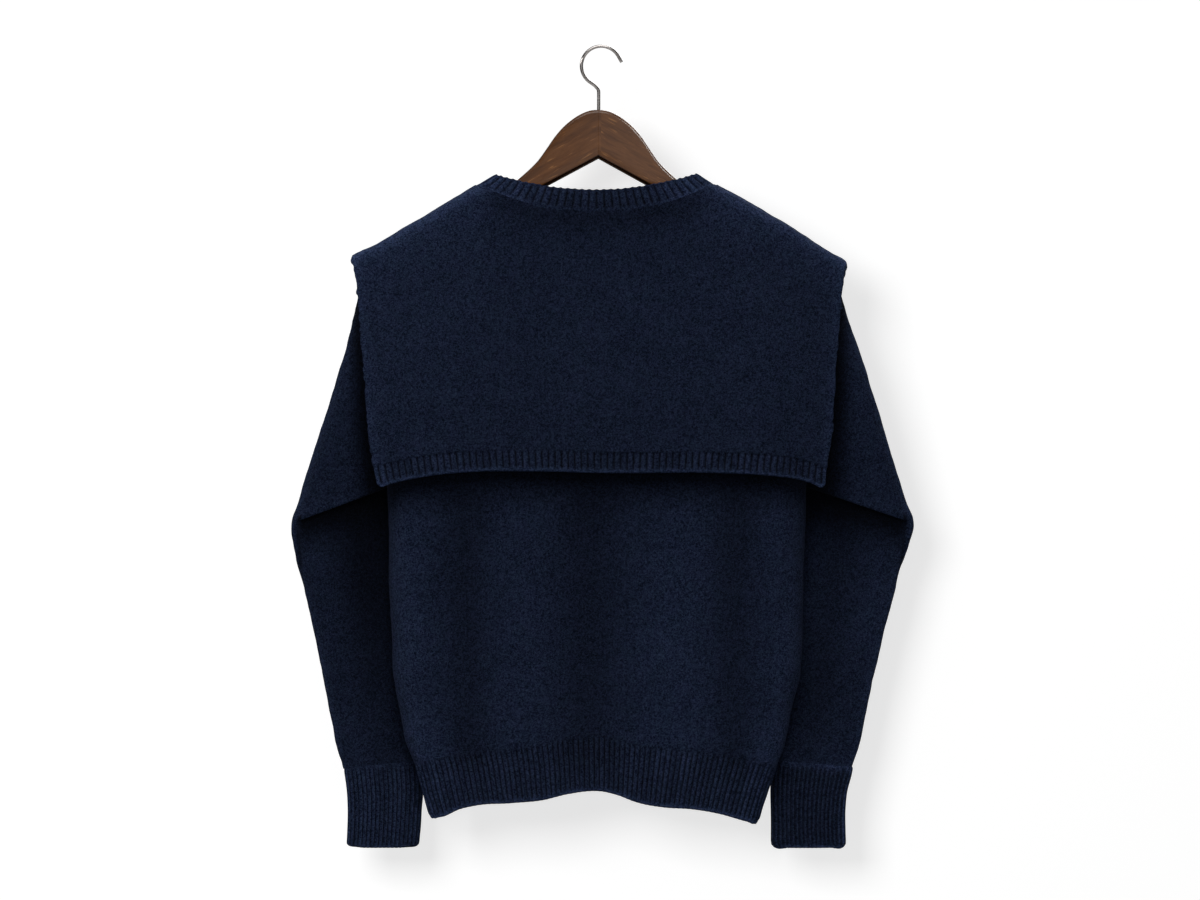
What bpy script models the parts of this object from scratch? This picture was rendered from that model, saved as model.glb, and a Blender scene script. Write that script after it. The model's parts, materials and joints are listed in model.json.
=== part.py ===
"""Scarf-neck sweater, seen from behind, on a wooden hanger with a metal hook.

Sizes are in millimetres and become metres when a mesh is made. X runs to the right of someone who
looks at the sweater's back, Z runs up, and the back faces -Y. The origin is the inside top of the
hook. "Left" and "right" are the wearer's, which a view from behind shows on the same sides.

Each knitted piece is a wall: a smooth outer surface worked out from the tables below, a plain inner
surface one cloth thickness behind it, and four rims. Ribs are raised in the outer points only.
"""

import math

import bmesh
import bpy
import numpy as np

MM = 0.001
TINY = 1e-4  # step for the slopes of a surface
BACK, FRONT = -1, 1
LEFT, RIGHT = -1, 1

# Cloth
CLOTH = 3.0  # wall of the plain knit
RIB_CLOTH = 2.6  # wall behind the ribs
HALF_SEAM = 0.16  # half the gap between two pieces that are sewn together
HEM_SEAM = 0.32  # the same at the hem, whose line is curved
LAYER_GAP = 1.3  # between the body and the scarf that lies on it
LAYER = CLOTH + LAYER_GAP

# Ribs: spacing and height of each band
HEM_PITCH, HEM_RIB = 5.3, 1.3
CUFF_PITCH, CUFF_RIB = 4.4, 1.1
NECK_PITCH, NECK_RIB = 8.1, 1.6
SCARF_PITCH, SCARF_RIB = 6.8, 1.4

# Shoulders: the ridge where the cloth folds over the hanger's arms
BODY_ROLL = 10.0  # radius of the body's fold there, outside
SCARF_ROLL = BODY_ROLL + LAYER
RIDGE_DROP = 4.9  # the body's ridge below the scarf's, straight down
SETTLE = 150.0  # below the ridge, where a panel reaches its full depth
UNDERARM = -400.0
ARMHOLE_DEPTH = 21.0
ARMHOLE_ROUND = 60.0  # height of the rounded bottom of the armhole
ARMHOLE_GAP = 0.6
SHOULDER_LINE = -205.0  # height at which places across a panel are measured
SIDE_ROUND = 36.0  # width of the body's rounded sides
PANEL_HEIGHT = 560.0  # nominal height that the panels' rows are given in

# Neck
NECK_CENTRE = -5.0
NECK_SEAM_REACH, NECK_EDGE_REACH = 122.0, 103.6  # half-width at the rib's foot and at its top
NECK_KNOTS = 8  # straight stretches of the neck seam, on each side of the middle
NECK_SEAM_GAP = 0.5
NECK_BODY_DROP = 0.8  # the body's neck edge below the plane of the rib's foot
NECK_SQUARENESS = 2.2  # 2 would be an ellipse, seen from above
NECK_EDGE_EASE = 0.4  # how much evener the free edge falls than the seam

# Scarf
SCARF_STANDOFF_BACK, SCARF_STANDOFF_FRONT = 9.0, 2.5  # at its lower edge
SCARF_SWING_TOP, SCARF_SWING = -230.0, 230.0  # where it starts to stand off, and over what height
SCARF_SIDE_DROOP = 6.0
SCARF_DROOP_FROM, SCARF_DROOP_RUN = 150.0, 100.0  # distances from the middle
SCARF_RIB_HEIGHT = 21.0
SCARF_END_LOW = -470.0

# Hanger and hook
HANGER_X = -2.6
HANGER_TILT = math.radians(0.4)  # the wood hangs a little lower on the right
WOOD_HALF_THICK_CENTRE, WOOD_HALF_THICK_ARM = 8.0, 5.4
WOOD_THINS_OVER = 95.0
WOOD_TIP_RADIUS = 11.0
WOOD_BEVEL = 2.4
WIRE_RADIUS = 1.75
HOOK_RADIUS = 20.7
STEM_LOW = -86.0
SOCKET_CLEARANCE, SOCKET_FLOOR, SOCKET_LENGTH = 0.3, 2.0, 60.0

NAVY = (0.0078, 0.0108, 0.0222, 1.0)
NAVY_RIB = (0.0070, 0.0096, 0.0196, 1.0)
WALNUT = (0.112, 0.052, 0.028, 1.0)
CHROME = (0.62, 0.62, 0.63, 1.0)


def table(names, rows):
    """A short table as one array for each named column, ordered by the first."""
    columns = np.array(sorted(rows), dtype=float).T
    return dict(zip(names.split(), columns))


# Ridge of the scarf over the shoulders: the garment's upper outline
RIDGE = table("x z", [
    (-258, -220), (-244, -211), (-220, -197.5), (-185, -176.5), (-151, -156.5), (-127, -143.3),
    (-108, -134), (98, -132.3), (117, -144), (139, -154), (172, -172), (206, -193), (240, -214),
    (259, -225),
])

# Body: half-widths and half-depth at each height
BODY = table("z left right depth", [
    (-812, 176, 165, 20), (-780, 184, 169, 22), (-753, 193, 174, 24), (-727, 206, 192, 26),
    (-700, 210.5, 198.5, 27), (-660, 218, 208, 28), (-600, 220.5, 211, 28.5),
    (-540, 222.5, 213, 28.5), (-475, 224.5, 215.5, 28.5), (-400, 225, 217, 28),
    (-320, 226, 220, 26.5), (-260, 229, 225, 25), (-205, 234, 230, 23), (-130, 234, 230, 20),
])

# Lower edge: the hem's seam and its free edge, across the back from the left side seam to the right
HEM = table("across seam edge", [
    (-1.0, -751, -805), (-0.9, -747, -804), (-0.7, -739.5, -794), (-0.5, -735, -791.5),
    (-0.25, -727, -784), (-0.05, -719.5, -779), (0.2, -731, -789.5), (0.5, -736.5, -797),
    (0.75, -743, -803), (0.93, -751, -812), (1.0, -754, -809),
])

# Soft upright folds of the body: where each is, how far it stands out, and how wide it is
FOLDS = {
    BACK: table("x height width", [
        (-152, -3.5, 30), (-89, 3.5, 44), (-1, -5.5, 36), (81, 3.5, 46), (140, -3.5, 30),
    ]),
    FRONT: table("x height width", [
        (-135, 3.0, 36), (-60, -4.0, 34), (25, 3.5, 42), (100, -4.0, 32), (165, 2.0, 26),
    ]),
}
FOLD_TOP, FOLD_FULL = -420.0, -700.0
FRONT_HEM_WAVE = 0.7  # share of the back's unevenness that the front's hem has

# Neck opening, back and front: depth at the rib's foot and top, heights at the middle, and how the
# line falls from the ridge to the middle
NECK = {
    BACK: {"foot_depth": 26.5, "top_depth": 22.5, "foot": -171.0, "top": -150.2, "fall": 2.4},
    FRONT: {"foot_depth": 30.0, "top_depth": 27.0, "foot": -229.0, "top": -208.0, "fall": 2.2},
}

# Scarf's sides, and its lower edge across the back
SCARF_SIDES = table("z left right", [
    (-464, 232, 233), (-440, 237, 235), (-405, 243, 241), (-357, 247, 244.5), (-312, 251, 247.5),
    (-270, 254.5, 252), (-238, 257, 256.5), (-220, 258, 259), (-130, 258, 259),
])
SCARF_EDGE = table("across edge", [
    (-1.0, -460.5), (-0.93, -456), (-0.78, -449), (-0.6, -444.5), (-0.3, -443.5), (0.0, -445.2),
    (0.55, -445.5), (0.75, -448), (0.9, -453), (1.0, -461),
])

# Front ends of the scarf: the distances of their edges from the middle
SCARF_END = table("z inner outer", [
    (-470, 114, 208), (-400, 116, 221), (-330, 119, 236), (-270, 122, 248), (-220, 124, 257.5),
    (-143, 127, 258),
])

# Sleeves: each station runs from a point on the outer edge to one on the inner edge
SLEEVE = table("station left_out right_out z_out y_out left_in right_in z_in y_in half_depth", [
    (0, 234, 230, -211, 0, 225, 217, -400, 0, 21),
    (1, 247, 244, -228, 1, 226.5, 218.5, -407, 3, 19),
    (2, 254.5, 252.5, -262, 2, 227.5, 220, -415, 7, 17.5),
    (3, 264, 264, -301, 4, 227.5, 220, -423, 11, 16),
    (4, 277, 278, -345, 6, 226.5, 219, -431, 16, 15),
    (5, 290.5, 292.5, -389, 9, 225.5, 218, -438, 20, 14.5),
    (6, 304, 306.5, -433, 12, 224, 217, -445, 24, 14),
    (7, 317, 320, -476, 15, 222, 215, -452, 27, 13.5),
    (8, 324, 327.5, -498, 16, 220.5, 213.5, -459, 28, 13.5),
    (9, 320.5, 321.5, -524, 18, 218, 211, -489, 28, 13.5),
    (10, 312, 311.5, -560, 19, 216.5, 209, -528, 28, 13.5),
    (11, 302, 299.5, -602, 20, 214, 207, -580, 28, 13.5),
    (12, 291.5, 287.5, -650, 21, 211, 203, -632, 28, 13.5),
    (13, 282.5, 278, -697, 22, 205, 196, -684, 28, 13),
    (14, 275, 270.5, -734, 22, 196, 188, -727, 26, 12.5),
    (15, 267.5, 262, -757, 22, 189.5, 182.5, -750, 24, 11.5),
])
CUFF = table("station left_out right_out z_out y_out left_in right_in z_in y_in half_depth", [
    (0, 267, 261.5, -757.5, 22, 189.5, 182.5, -750.5, 24, 11),
    (1, 264.5, 257.5, -783, 22, 188.5, 181.5, -781, 23, 10.5),
    (2, 264, 256, -811, 21, 190, 182, -811, 22, 10.5),
    (3, 265.5, 258, -839, 21, 191.5, 183, -839, 22, 11),
])
TUBE_ROUNDING = 0.85  # 1 would be an ellipse, and less is squarer
ELBOW = 8  # station where the upper sleeve folds over the lower one
ELBOW_TUCK = (0.10, 1.75)  # stations that the fold reaches back, on the outer and on the inner edge
ELBOW_STEP = (0.7, 2.6)  # cloth of the fold, and the gap under it, on the outer and the inner edge
ELBOW_LIFT_FROM, ELBOW_LIFT_TO = 2.5, 5.8

# Upper outline of one half of the wood, from the middle of the hanger outwards
WOOD_TOP = [
    (0, -65), (8, -65.8), (20.5, -70.8), (29, -76.5), (37.5, -84), (46, -94), (54.5, -106.5),
    (63, -118.5), (71, -127), (80, -135.2), (92, -145.6),
]
WOOD_ARM_SLOPE, WOOD_TOP_SLOPE = math.radians(28.6), math.radians(27.9)
WOOD_TIP_X, WOOD_UNDERSIDE = 216.0, -113.0

# Hook's neck, from the end of its round down to the stem in the wood: x and z
HOOK_NECK = [
    (-7.2, -39.6), (-4.6, -42.2), (-3.1, -45.4), (HANGER_X, -49.5), (HANGER_X, -65),
    (HANGER_X, STEM_LOW),
]
HOOK_TURN = (10, 238)  # degrees, from the tip to where the neck starts


def smoothstep(value):
    value = min(max(value, 0.0), 1.0)
    return value * value * (3 - 2 * value)


def curve(columns, value):
    """A smooth curve through one column of a table, as a function of the table's first column."""
    places, heights = columns[next(iter(columns))], columns[value]
    slopes = np.gradient(heights, places)

    def at(place):
        place = min(max(place, places[0]), places[-1])
        i = int(np.clip(np.searchsorted(places, place, side="right") - 1, 0, len(places) - 2))
        step = places[i + 1] - places[i]
        t = (place - places[i]) / step
        return (
            heights[i] * (1 + 2 * t) * (1 - t) ** 2 + slopes[i] * step * t * (1 - t) ** 2
            + heights[i + 1] * t * t * (3 - 2 * t) + slopes[i + 1] * step * t * t * (t - 1)
        )

    return at


def jointed(line, knots):
    """The same line as straight stretches between knots, so that both pieces of a seam follow it."""
    heights = [line(knot) for knot in knots]
    return lambda place: float(np.interp(place, knots, heights))


ridge_z = curve(RIDGE, "z")
body_half = {LEFT: curve(BODY, "left"), RIGHT: curve(BODY, "right")}
body_depth = curve(BODY, "depth")
scarf_half = {LEFT: curve(SCARF_SIDES, "left"), RIGHT: curve(SCARF_SIDES, "right")}
scarf_end_inner, scarf_end_outer = curve(SCARF_END, "inner"), curve(SCARF_END, "outer")
scarf_edge = curve(SCARF_EDGE, "edge")
hem_seam, hem_edge = curve(HEM, "seam"), curve(HEM, "edge")


# ---- Shapes that the panels share ------------------------------------------------------------

def side_of(across):
    return LEFT if across < 0 else RIGHT


def neck_place(x, reach):
    """Where x lies across the neck opening: 0 in the middle, 1 at its side and beyond."""
    return min(abs(x - NECK_CENTRE) / reach, 1.0)


def oval(place):
    return (1 - place**NECK_SQUARENESS) ** (1 / NECK_SQUARENESS)


def neck_foot_z(x, facing):
    """Height of the neck seam at x, on the scarf's outer surface."""
    neck = NECK[facing]
    side_x = NECK_CENTRE + math.copysign(NECK_SEAM_REACH, x - NECK_CENTRE)
    rise = ridge_z(side_x) - neck["foot"]
    return neck["foot"] + rise * neck_place(x, NECK_SEAM_REACH) ** neck["fall"]


def neck_depth_at(x, facing):
    """Distance of the neck seam from the middle plane, on the scarf's outer surface."""
    return NECK[facing]["foot_depth"] * oval(neck_place(x, NECK_SEAM_REACH))


def cut_rise(depth, radius):
    """Share of a fold's radius that is left above the middle where an edge cuts it at this depth."""
    return math.sqrt(1 - min(depth / radius, 1.0) ** 2)


def fold_height(radius):
    """Height of the fold over the sloping arm of the hanger."""
    return radius / math.cos(WOOD_ARM_SLOPE)


def roll(below, radius):
    """How far the fold stands out at this depth below its ridge, from 0 to 1."""
    turned = 1 - min(max(below, 0.0) / fold_height(radius), 1.0)
    return math.sqrt(max(1 - turned * turned, 0.0))


def armhole_depth(z):
    """Half-depth of the armhole's edge. It is 0 at the underarm and below it."""
    rise = min(max((z - UNDERARM) / ARMHOLE_ROUND, 0.0), 1.0)
    return ARMHOLE_DEPTH * math.sqrt(1 - (1 - rise) ** 2)


def folds(facing, x, z):
    grown = smoothstep((FOLD_TOP - z) / (FOLD_TOP - FOLD_FULL))
    rows = FOLDS[facing]
    bumps = rows["height"] * np.exp(-(((x - rows["x"]) / rows["width"]) ** 2))
    return float(grown * bumps.sum())


def draped_depth(below, neck_depth, radius, full):
    """Distance from the middle plane, below the ridge or the neck's edge: round the fold over the
    hanger from wherever the edge cuts into it, then out to full depth."""
    if neck_depth < radius:
        cut = fold_height(radius) * (1 - cut_rise(neck_depth, radius))
        return radius * roll(cut + below, radius) + (full - radius) * smoothstep(below / SETTLE)
    return neck_depth + (full - neck_depth) * smoothstep(below / SETTLE)


def body_at(facing, x, z, below):
    """Distance of the body's outer surface from the middle plane."""
    half = body_half[side_of(x)](z)
    inward = min(max((half - abs(x)) / SIDE_ROUND, 0.0), 1.0)
    edge = armhole_depth(z)
    full = body_depth(z) + folds(facing, x, z)
    rounding = (1 - (1 - inward) ** 2) ** (0.5 + 0.5 * edge / ARMHOLE_DEPTH)
    full = edge + (full - edge) * rounding
    neck_depth = neck_depth_at(x, facing)
    if neck_depth < SCARF_ROLL:
        neck_depth *= BODY_ROLL / SCARF_ROLL
    else:
        neck_depth -= LAYER
    return draped_depth(below, neck_depth, BODY_ROLL, full)


def scarf_at(facing, x, z, below):
    """Distance of the scarf's outer surface from the middle plane."""
    lowness = smoothstep((SCARF_SWING_TOP - z) / SCARF_SWING)
    standoff = SCARF_STANDOFF_BACK if facing == BACK else SCARF_STANDOFF_FRONT
    full = body_depth(z) + LAYER + standoff * lowness
    beyond = max(abs(x) - SCARF_DROOP_FROM, 0.0) / SCARF_DROOP_RUN
    droop = SCARF_SIDE_DROOP if facing == BACK else -SCARF_SIDE_DROOP * lowness
    full -= droop * beyond * beyond
    return draped_depth(below, neck_depth_at(x, facing), SCARF_ROLL, full)


def body_panel(facing, seam):
    """Surface of the front or back, by place across (-1 to 1) and nominal distance below the top."""

    def surface(across, below):
        side = side_of(across)
        x_top = across * body_half[side](SHOULDER_LINE)
        top = ridge_z(x_top) - RIDGE_DROP
        if neck_place(x_top, NECK_SEAM_REACH) < 1:
            top = neck_foot_z(x_top, facing)
            top -= RIDGE_DROP * cut_rise(neck_depth_at(x_top, facing), SCARF_ROLL) + NECK_BODY_DROP
        height = top - (hem_line(facing, across, seam) + HEM_SEAM)
        fallen = below * (1 + (height / PANEL_HEIGHT - 1) * below / PANEL_HEIGHT)
        z = top - fallen
        x = across * body_half[side](z)
        return np.array([x, facing * (HALF_SEAM + body_at(facing, x, z, fallen)), z])

    return surface


def hem_line(facing, across, line):
    """A line of the hem: as the table has it at the back, evener at the front."""
    if facing == BACK:
        return line(across)
    ends = (line(-1.0) + line(1.0)) / 2
    return ends + FRONT_HEM_WAVE * (line(across) - ends)


def hem_panel(facing, seam):
    def surface(across, down):
        side = side_of(across)
        top = hem_line(facing, across, seam) - HEM_SEAM
        z = top + (hem_line(facing, across, hem_edge) - top) * down
        x = across * body_half[side](z)
        return np.array([x, facing * (HALF_SEAM + body_at(facing, x, z, PANEL_HEIGHT)), z])

    return surface


def neck_foot(place, facing):
    """Point of the neck seam, by place from -1 to 1 across the opening."""
    x = NECK_CENTRE + place * NECK_SEAM_REACH
    return np.array([x, neck_depth_at(x, facing), neck_foot_z(x, facing)])


def neck_edge(place, facing):
    """Point of the neck's free edge above neck_foot."""
    neck = NECK[facing]
    neck_point = ridge_z(NECK_CENTRE + math.copysign(NECK_EDGE_REACH, place))
    rise = abs(place) ** (neck["fall"] - NECK_EDGE_EASE)
    return np.array([
        NECK_CENTRE + place * NECK_EDGE_REACH, neck["top_depth"] * oval(abs(place)),
        neck["top"] + (neck_point - neck["top"]) * rise,
    ])


def along_neck_rib(facing):
    """Direction of the neck's rib at a point of its seam, and none at a point of the shoulder."""

    def direction(point):
        place = (point[0] - NECK_CENTRE) / NECK_SEAM_REACH
        if abs(place) > 1:
            return None
        rib = neck_edge(place, facing) - neck_foot(place, facing)
        rib[1] = 0
        return rib / np.linalg.norm(rib)

    return direction


def upright(point):
    return np.array([0, 0, 1.0])


def neck_band(facing):
    """Surface of the neck's rib, by place round it (-1 to 1) and height (0 at its foot)."""

    def foot(across):
        """A point of the seam, which runs straight between its knots."""
        knot = min(math.floor(across * NECK_KNOTS), NECK_KNOTS - 1)
        share = across * NECK_KNOTS - knot
        ends = [
            neck_foot(math.sin(k / NECK_KNOTS * math.pi / 2), facing) for k in (knot, knot + 1)
        ]
        return ends[0] * (1 - share) + ends[1] * share

    def surface(across, up):
        low, top = foot(across), neck_edge(math.sin(across * math.pi / 2), facing)
        up += NECK_SEAM_GAP / np.linalg.norm(top - low) * (1 - up)
        point = low + (top - low) * np.array([up, up * up, up])
        point[1] = facing * (HALF_SEAM + point[1])
        return point

    return surface


def scarf_panel(facing, x_at, edge, seam):
    """Surfaces of a stretch of the scarf and of its rib, by place across and share of the way down.

    x_at(across, z) places the columns, and edge and seam are the rib's lower and upper line.
    """

    def point(x, z, fallen):
        return np.array([x, facing * (HALF_SEAM + scarf_at(facing, x, z, fallen)), z])

    def surface(across, down):
        x_top = x_at(across, SHOULDER_LINE)
        top = ridge_z(x_top)
        if neck_place(x_top, NECK_SEAM_REACH) < 1:
            top = neck_foot_z(x_top, facing)
        fallen = (top - seam(across) - HALF_SEAM) * down
        return point(x_at(across, top - fallen), top - fallen, fallen)

    def rib(across, down):
        top = seam(across) - HALF_SEAM
        z = top + (edge(across) - top) * down
        return point(x_at(across, z), z, PANEL_HEIGHT)

    return surface, rib


def scarf_back_x(across, z):
    return across * scarf_half[side_of(across)](z)


def scarf_end_x(side):
    def x_at(across, z):
        inner = scarf_end_inner(z) + side * NECK_CENTRE
        return side * (inner + (scarf_end_outer(z) - inner) * across)

    return x_at


# ---- Walls -----------------------------------------------------------------------------------

def normal_at(surface, a, b, a_ends, b_ends):
    """Unit normal of a surface, either way round."""
    a0, a1 = max(a - TINY, a_ends[0]), min(a + TINY, a_ends[1])
    step = TINY * (b_ends[1] - b_ends[0])
    b0, b1 = max(b - step, b_ends[0]), min(b + step, b_ends[1])
    normal = np.cross(surface(a1, b) - surface(a0, b), surface(a, b1) - surface(a, b0))
    return normal / np.linalg.norm(normal)


def lifted(surface, across, along, facing, height, seams):
    """Grid of surface points moved along the normal by height(column).

    The normal lies in the middle plane on an edge that meets it. seams gives, for a row that is
    sewn to another piece, the direction in which the cloth crosses the seam at a point: there the
    normal is square to it, so that the two rims of the seam stay parallel.
    """
    a_ends, b_ends = (across[0], across[-1]), (along[0], along[-1])
    rows = []
    for b in along:
        row = []
        for i, a in enumerate(across):
            point = surface(a, b)
            normal = normal_at(surface, a, b, a_ends, b_ends)
            outwards = (point[0] * 0.01, facing * 3.0, 0.5)  # roughly: it only tells the ways apart
            if np.dot(normal, outwards) < 0:
                normal = -normal
            if abs(point[1]) < HALF_SEAM + TINY:
                normal[1] = 0
            crossing = seams[b](point) if b in seams else None
            if crossing is not None:
                normal -= crossing * np.dot(normal, crossing)
            row.append(point + normal / np.linalg.norm(normal) * height(i))
        rows.append(row)
    return np.array(rows)


def zipped(first, first_places, second, second_places):
    """Triangles between two lines of vertices that have their ends at the same places."""
    faces, i, j = [], 0, 0
    while i < len(first) - 1 or j < len(second) - 1:
        ahead = j == len(second) - 1 or (
            i < len(first) - 1 and first_places[i + 1] <= second_places[j + 1]
        )
        if ahead:
            faces.append((first[i], first[i + 1], second[j]))
            i += 1
        else:
            faces.append((first[i], second[j + 1], second[j]))
            j += 1
    return faces


def shares(values):
    values = np.asarray(values, dtype=float)
    return (values - values[0]) / (values[-1] - values[0])


def add_grid(mesh, points, ring):
    verts = [[mesh.verts.new(point * MM) for point in row] for row in points]
    for upper, lower in zip(verts, verts[1:]):
        ends = list(zip(upper, upper[1:] + upper[:1], lower, lower[1:] + lower[:1]))
        for a, b, c, d in ends if ring else ends[:-1]:
            mesh.faces.new((a, b, d, c))
    return verts


def make_wall(name, material, outer, inner, across, along, ring=False):
    """A closed solid between two grids. across and along hold the places of both grids' columns and
    rows, the outer grid's first."""
    mesh = bmesh.new()
    skin, lining = add_grid(mesh, outer, ring), add_grid(mesh, inner, ring)
    rims = []
    for row in (0, -1):
        edge, back = list(skin[row]), list(lining[row])
        if ring:
            edge, back = edge + edge[:1], back + back[:1]
        rims += zipped(edge, shares(across[0]), back, shares(across[1]))
    if not ring:
        for column in (0, -1):
            edge = [row[column] for row in skin]
            back = [row[column] for row in lining]
            rims += zipped(edge, shares(along[0]), back, shares(along[1]))
    for corners in rims:
        mesh.faces.new(corners)
    face_out(mesh)
    return finish_mesh(name, material, mesh)


def face_out(mesh):
    bmesh.ops.recalc_face_normals(mesh, faces=mesh.faces)
    if mesh.calc_volume(signed=True) < 0:
        bmesh.ops.reverse_faces(mesh, faces=mesh.faces)


def finish_mesh(name, material, mesh):
    data = bpy.data.meshes.new(name)
    mesh.to_mesh(data)
    mesh.free()
    piece = bpy.data.objects.new(name, data)
    return finish_object(piece, material)


def finish_object(piece, material):
    piece.data.materials.append(material)
    if piece.type == "MESH":
        piece.data.shade_smooth()
        piece.data.set_sharp_from_angle(angle=math.radians(50))
    bpy.data.collections["scarf_neck_sweater"].objects.link(piece)
    return piece


def thinned(values, step):
    """Every step-th value, with the last one kept."""
    return list(values[:-1:step]) + [values[-1]]


def plain_wall(name, material, surface, across, along, lining_along, facing, seams):
    """A plain knitted panel. Its inner surface has fewer rows than its outer one."""
    outer = lifted(surface, across, along, facing, lambda i: 0.0, seams)
    inner = lifted(surface, across, lining_along, facing, lambda i: -CLOTH, seams)
    return make_wall(name, material, outer, inner, (across, across), (along, lining_along))


def even_places(surface, along, pitch, start=-1.0):
    """Places from start to 1 across a surface, two for each rib, evenly spaced along the cloth."""
    fine = np.linspace(start, 1, 601)
    points = np.array([surface(a, along) for a in fine])
    walked = np.concatenate([[0], np.cumsum(np.linalg.norm(np.diff(points, axis=0), axis=1))])
    ribs = max(int(round(walked[-1] / pitch)), 4)
    return np.interp(np.linspace(0, walked[-1], 2 * ribs + 1), walked, fine)


def ribbed_wall(name, material, surface, across, along, facing, height, seams, thinning=6):
    """A ribbed band: every second column of its outer points is raised."""
    places, ends = thinned(across, thinning), [along[0], along[-1]]
    outer = lifted(surface, across, along, facing, lambda i: height * (i % 2) - height, seams)
    inner = lifted(surface, places, ends, facing, lambda i: -height - RIB_CLOTH, seams)
    return make_wall(name, material, outer, inner, (across, places), (along, ends))


def clustered(start, end, count):
    """Values from start to end, closer together towards the start."""
    return [start + (end - start) * (1 - math.cos(t * math.pi / 2)) for t in np.linspace(0, 1, count)]


# ---- Pieces ----------------------------------------------------------------------------------

def panel_columns(half, side_steps):
    """Places across a panel: close together at its sides, with one at each knot of the neck seam."""
    columns = []
    for side in (LEFT, RIGHT):
        reach = half[side](SHOULDER_LINE)
        knots = [
            side * NECK_CENTRE + NECK_SEAM_REACH * math.sin(knot / NECK_KNOTS * math.pi / 2)
            for knot in range(NECK_KNOTS + 1)
        ]
        columns += [side * x / reach for x in knots if x > 0]
        columns += [side * place for place in clustered(1.0, knots[-1] / reach, side_steps)[:-1]]
    columns.append(NECK_CENTRE / half[LEFT](SHOULDER_LINE))
    return sorted(set(columns))


BODY_ROWS = [0, 0.9, 3.3, 7, 11.6, 28, 60, 100, 140, 180, 225, 285, 350, 410, 465, 515, 545,
             PANEL_HEIGHT]
BODY_LINING_ROWS = [0, 0.9, 3.3, 7, 11.6, 60, 140, 225, 350, 465, 545, PANEL_HEIGHT]
SCARF_ROWS = [0, 0.004, 0.016, 0.034, 0.058, 0.12, 0.24, 0.38, 0.54, 0.7, 0.86, 1]
SCARF_LINING_ROWS = [0, 0.004, 0.016, 0.034, 0.058, 0.12, 0.38, 0.7, 1]


def make_body(wool, rib):
    columns = panel_columns(body_half, 8)
    seam = jointed(hem_seam, columns)
    for facing, word in ((BACK, "back"), (FRONT, "front")):
        surface, hem = body_panel(facing, seam), hem_panel(facing, seam)
        seams = {0: along_neck_rib(facing), PANEL_HEIGHT: upright}
        plain_wall(word, wool, surface, columns, BODY_ROWS, BODY_LINING_ROWS, facing, seams)
        places = even_places(hem, 0.5, HEM_PITCH)
        ribbed_wall(
            "hem_rib_" + word, rib, hem, places, [0, 0.5, 1], facing, HEM_RIB, {0: upright},
            thinning=4,
        )


def make_neck(rib):
    for facing, word in ((BACK, "back"), (FRONT, "front")):
        band = neck_band(facing)
        places = even_places(band, 0.5, NECK_PITCH)
        seams = {0: along_neck_rib(facing)}
        ribbed_wall(
            "neck_rib_" + word, rib, band, places, [0, 0.5, 1], facing, NECK_RIB, seams, thinning=2
        )


def make_scarf(wool, rib):
    def seam_above(edge, columns):
        return jointed(lambda across: edge(across) + SCARF_RIB_HEIGHT, columns)

    stretches = [("back", BACK, scarf_back_x, scarf_edge, panel_columns(scarf_half, 7))]
    for side, word in ((LEFT, "left"), (RIGHT, "right")):
        columns = list(np.linspace(0, 1, 9))
        stretches.append((word, FRONT, scarf_end_x(side), lambda across: SCARF_END_LOW, columns))
    for word, facing, x_at, edge, columns in stretches:
        surface, band = scarf_panel(facing, x_at, edge, seam_above(edge, columns))
        name = "scarf_back" if facing == BACK else "scarf_end_" + word
        seams = {0: along_neck_rib(facing), 1: upright}
        plain_wall(name, wool, surface, columns, SCARF_ROWS, SCARF_LINING_ROWS, facing, seams)
        places = even_places(band, 0.5, SCARF_PITCH, columns[0])
        ribbed_wall(
            "scarf_rib_" + word, rib, band, places, [0, 0.5, 1], facing, SCARF_RIB, {0: upright}
        )


def tube_ring(columns, side):
    """Function giving a point of a flattened tube, by angle and station.

    Angle 0 is the outer edge, half a turn the inner one, and a quarter turn the back.
    """
    word = "left" if side == LEFT else "right"
    at = {name: curve(columns, name) for name in columns if name != "station"}

    def ring(angle, station, lift=0.0):
        outer, inner = (
            np.array([side * at[f"{word}_{end}"](station), at["y_" + end](station),
                      at["z_" + end](station)])
            for end in ("out", "in")
        )
        reach = (outer - inner) / 2
        length = np.linalg.norm(reach)
        depth = at["half_depth"](station)
        cos, sin = math.cos(angle), math.sin(angle)
        steep = np.array([cos / length, sin / depth])
        steep /= np.linalg.norm(steep)
        flat = (length * cos + lift * steep[0]) * reach / length
        thick = depth * math.copysign(abs(sin) ** TUBE_ROUNDING, sin) + lift * steep[1]
        return (outer + inner) / 2 + flat - np.array([0, thick, 0])

    return ring


def armhole_ring(side, angle, inset):
    """Point of the armhole's seam, on the sleeve's side of it."""
    cos, sin = math.cos(angle), math.sin(angle)
    tip = ridge_z(side * body_half[side](SHOULDER_LINE)) - RIDGE_DROP
    middle, half = (tip + UNDERARM) / 2, (tip - UNDERARM) / 2
    z = middle + half * cos
    x = side * (body_half[side](z) + ARMHOLE_GAP)
    depth = (body_at(BACK, x, z, tip - z) + HALF_SEAM) * (1 - inset / ARMHOLE_DEPTH)
    z = middle + (half - inset) * cos
    x = side * (body_half[side](z) + ARMHOLE_GAP)
    return np.array([x, -math.copysign(depth, sin), z])


def sleeve_point(side):
    ring = tube_ring(SLEEVE, side)

    def point(angle, station, lift=0.0):
        inset = max(-lift, 0.0)
        blend = smoothstep(station / 2)
        tube = ring(angle, station, lift)
        return tube * blend + armhole_ring(side, angle, inset) * (1 - blend) if blend < 1 else tube

    return point


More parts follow.
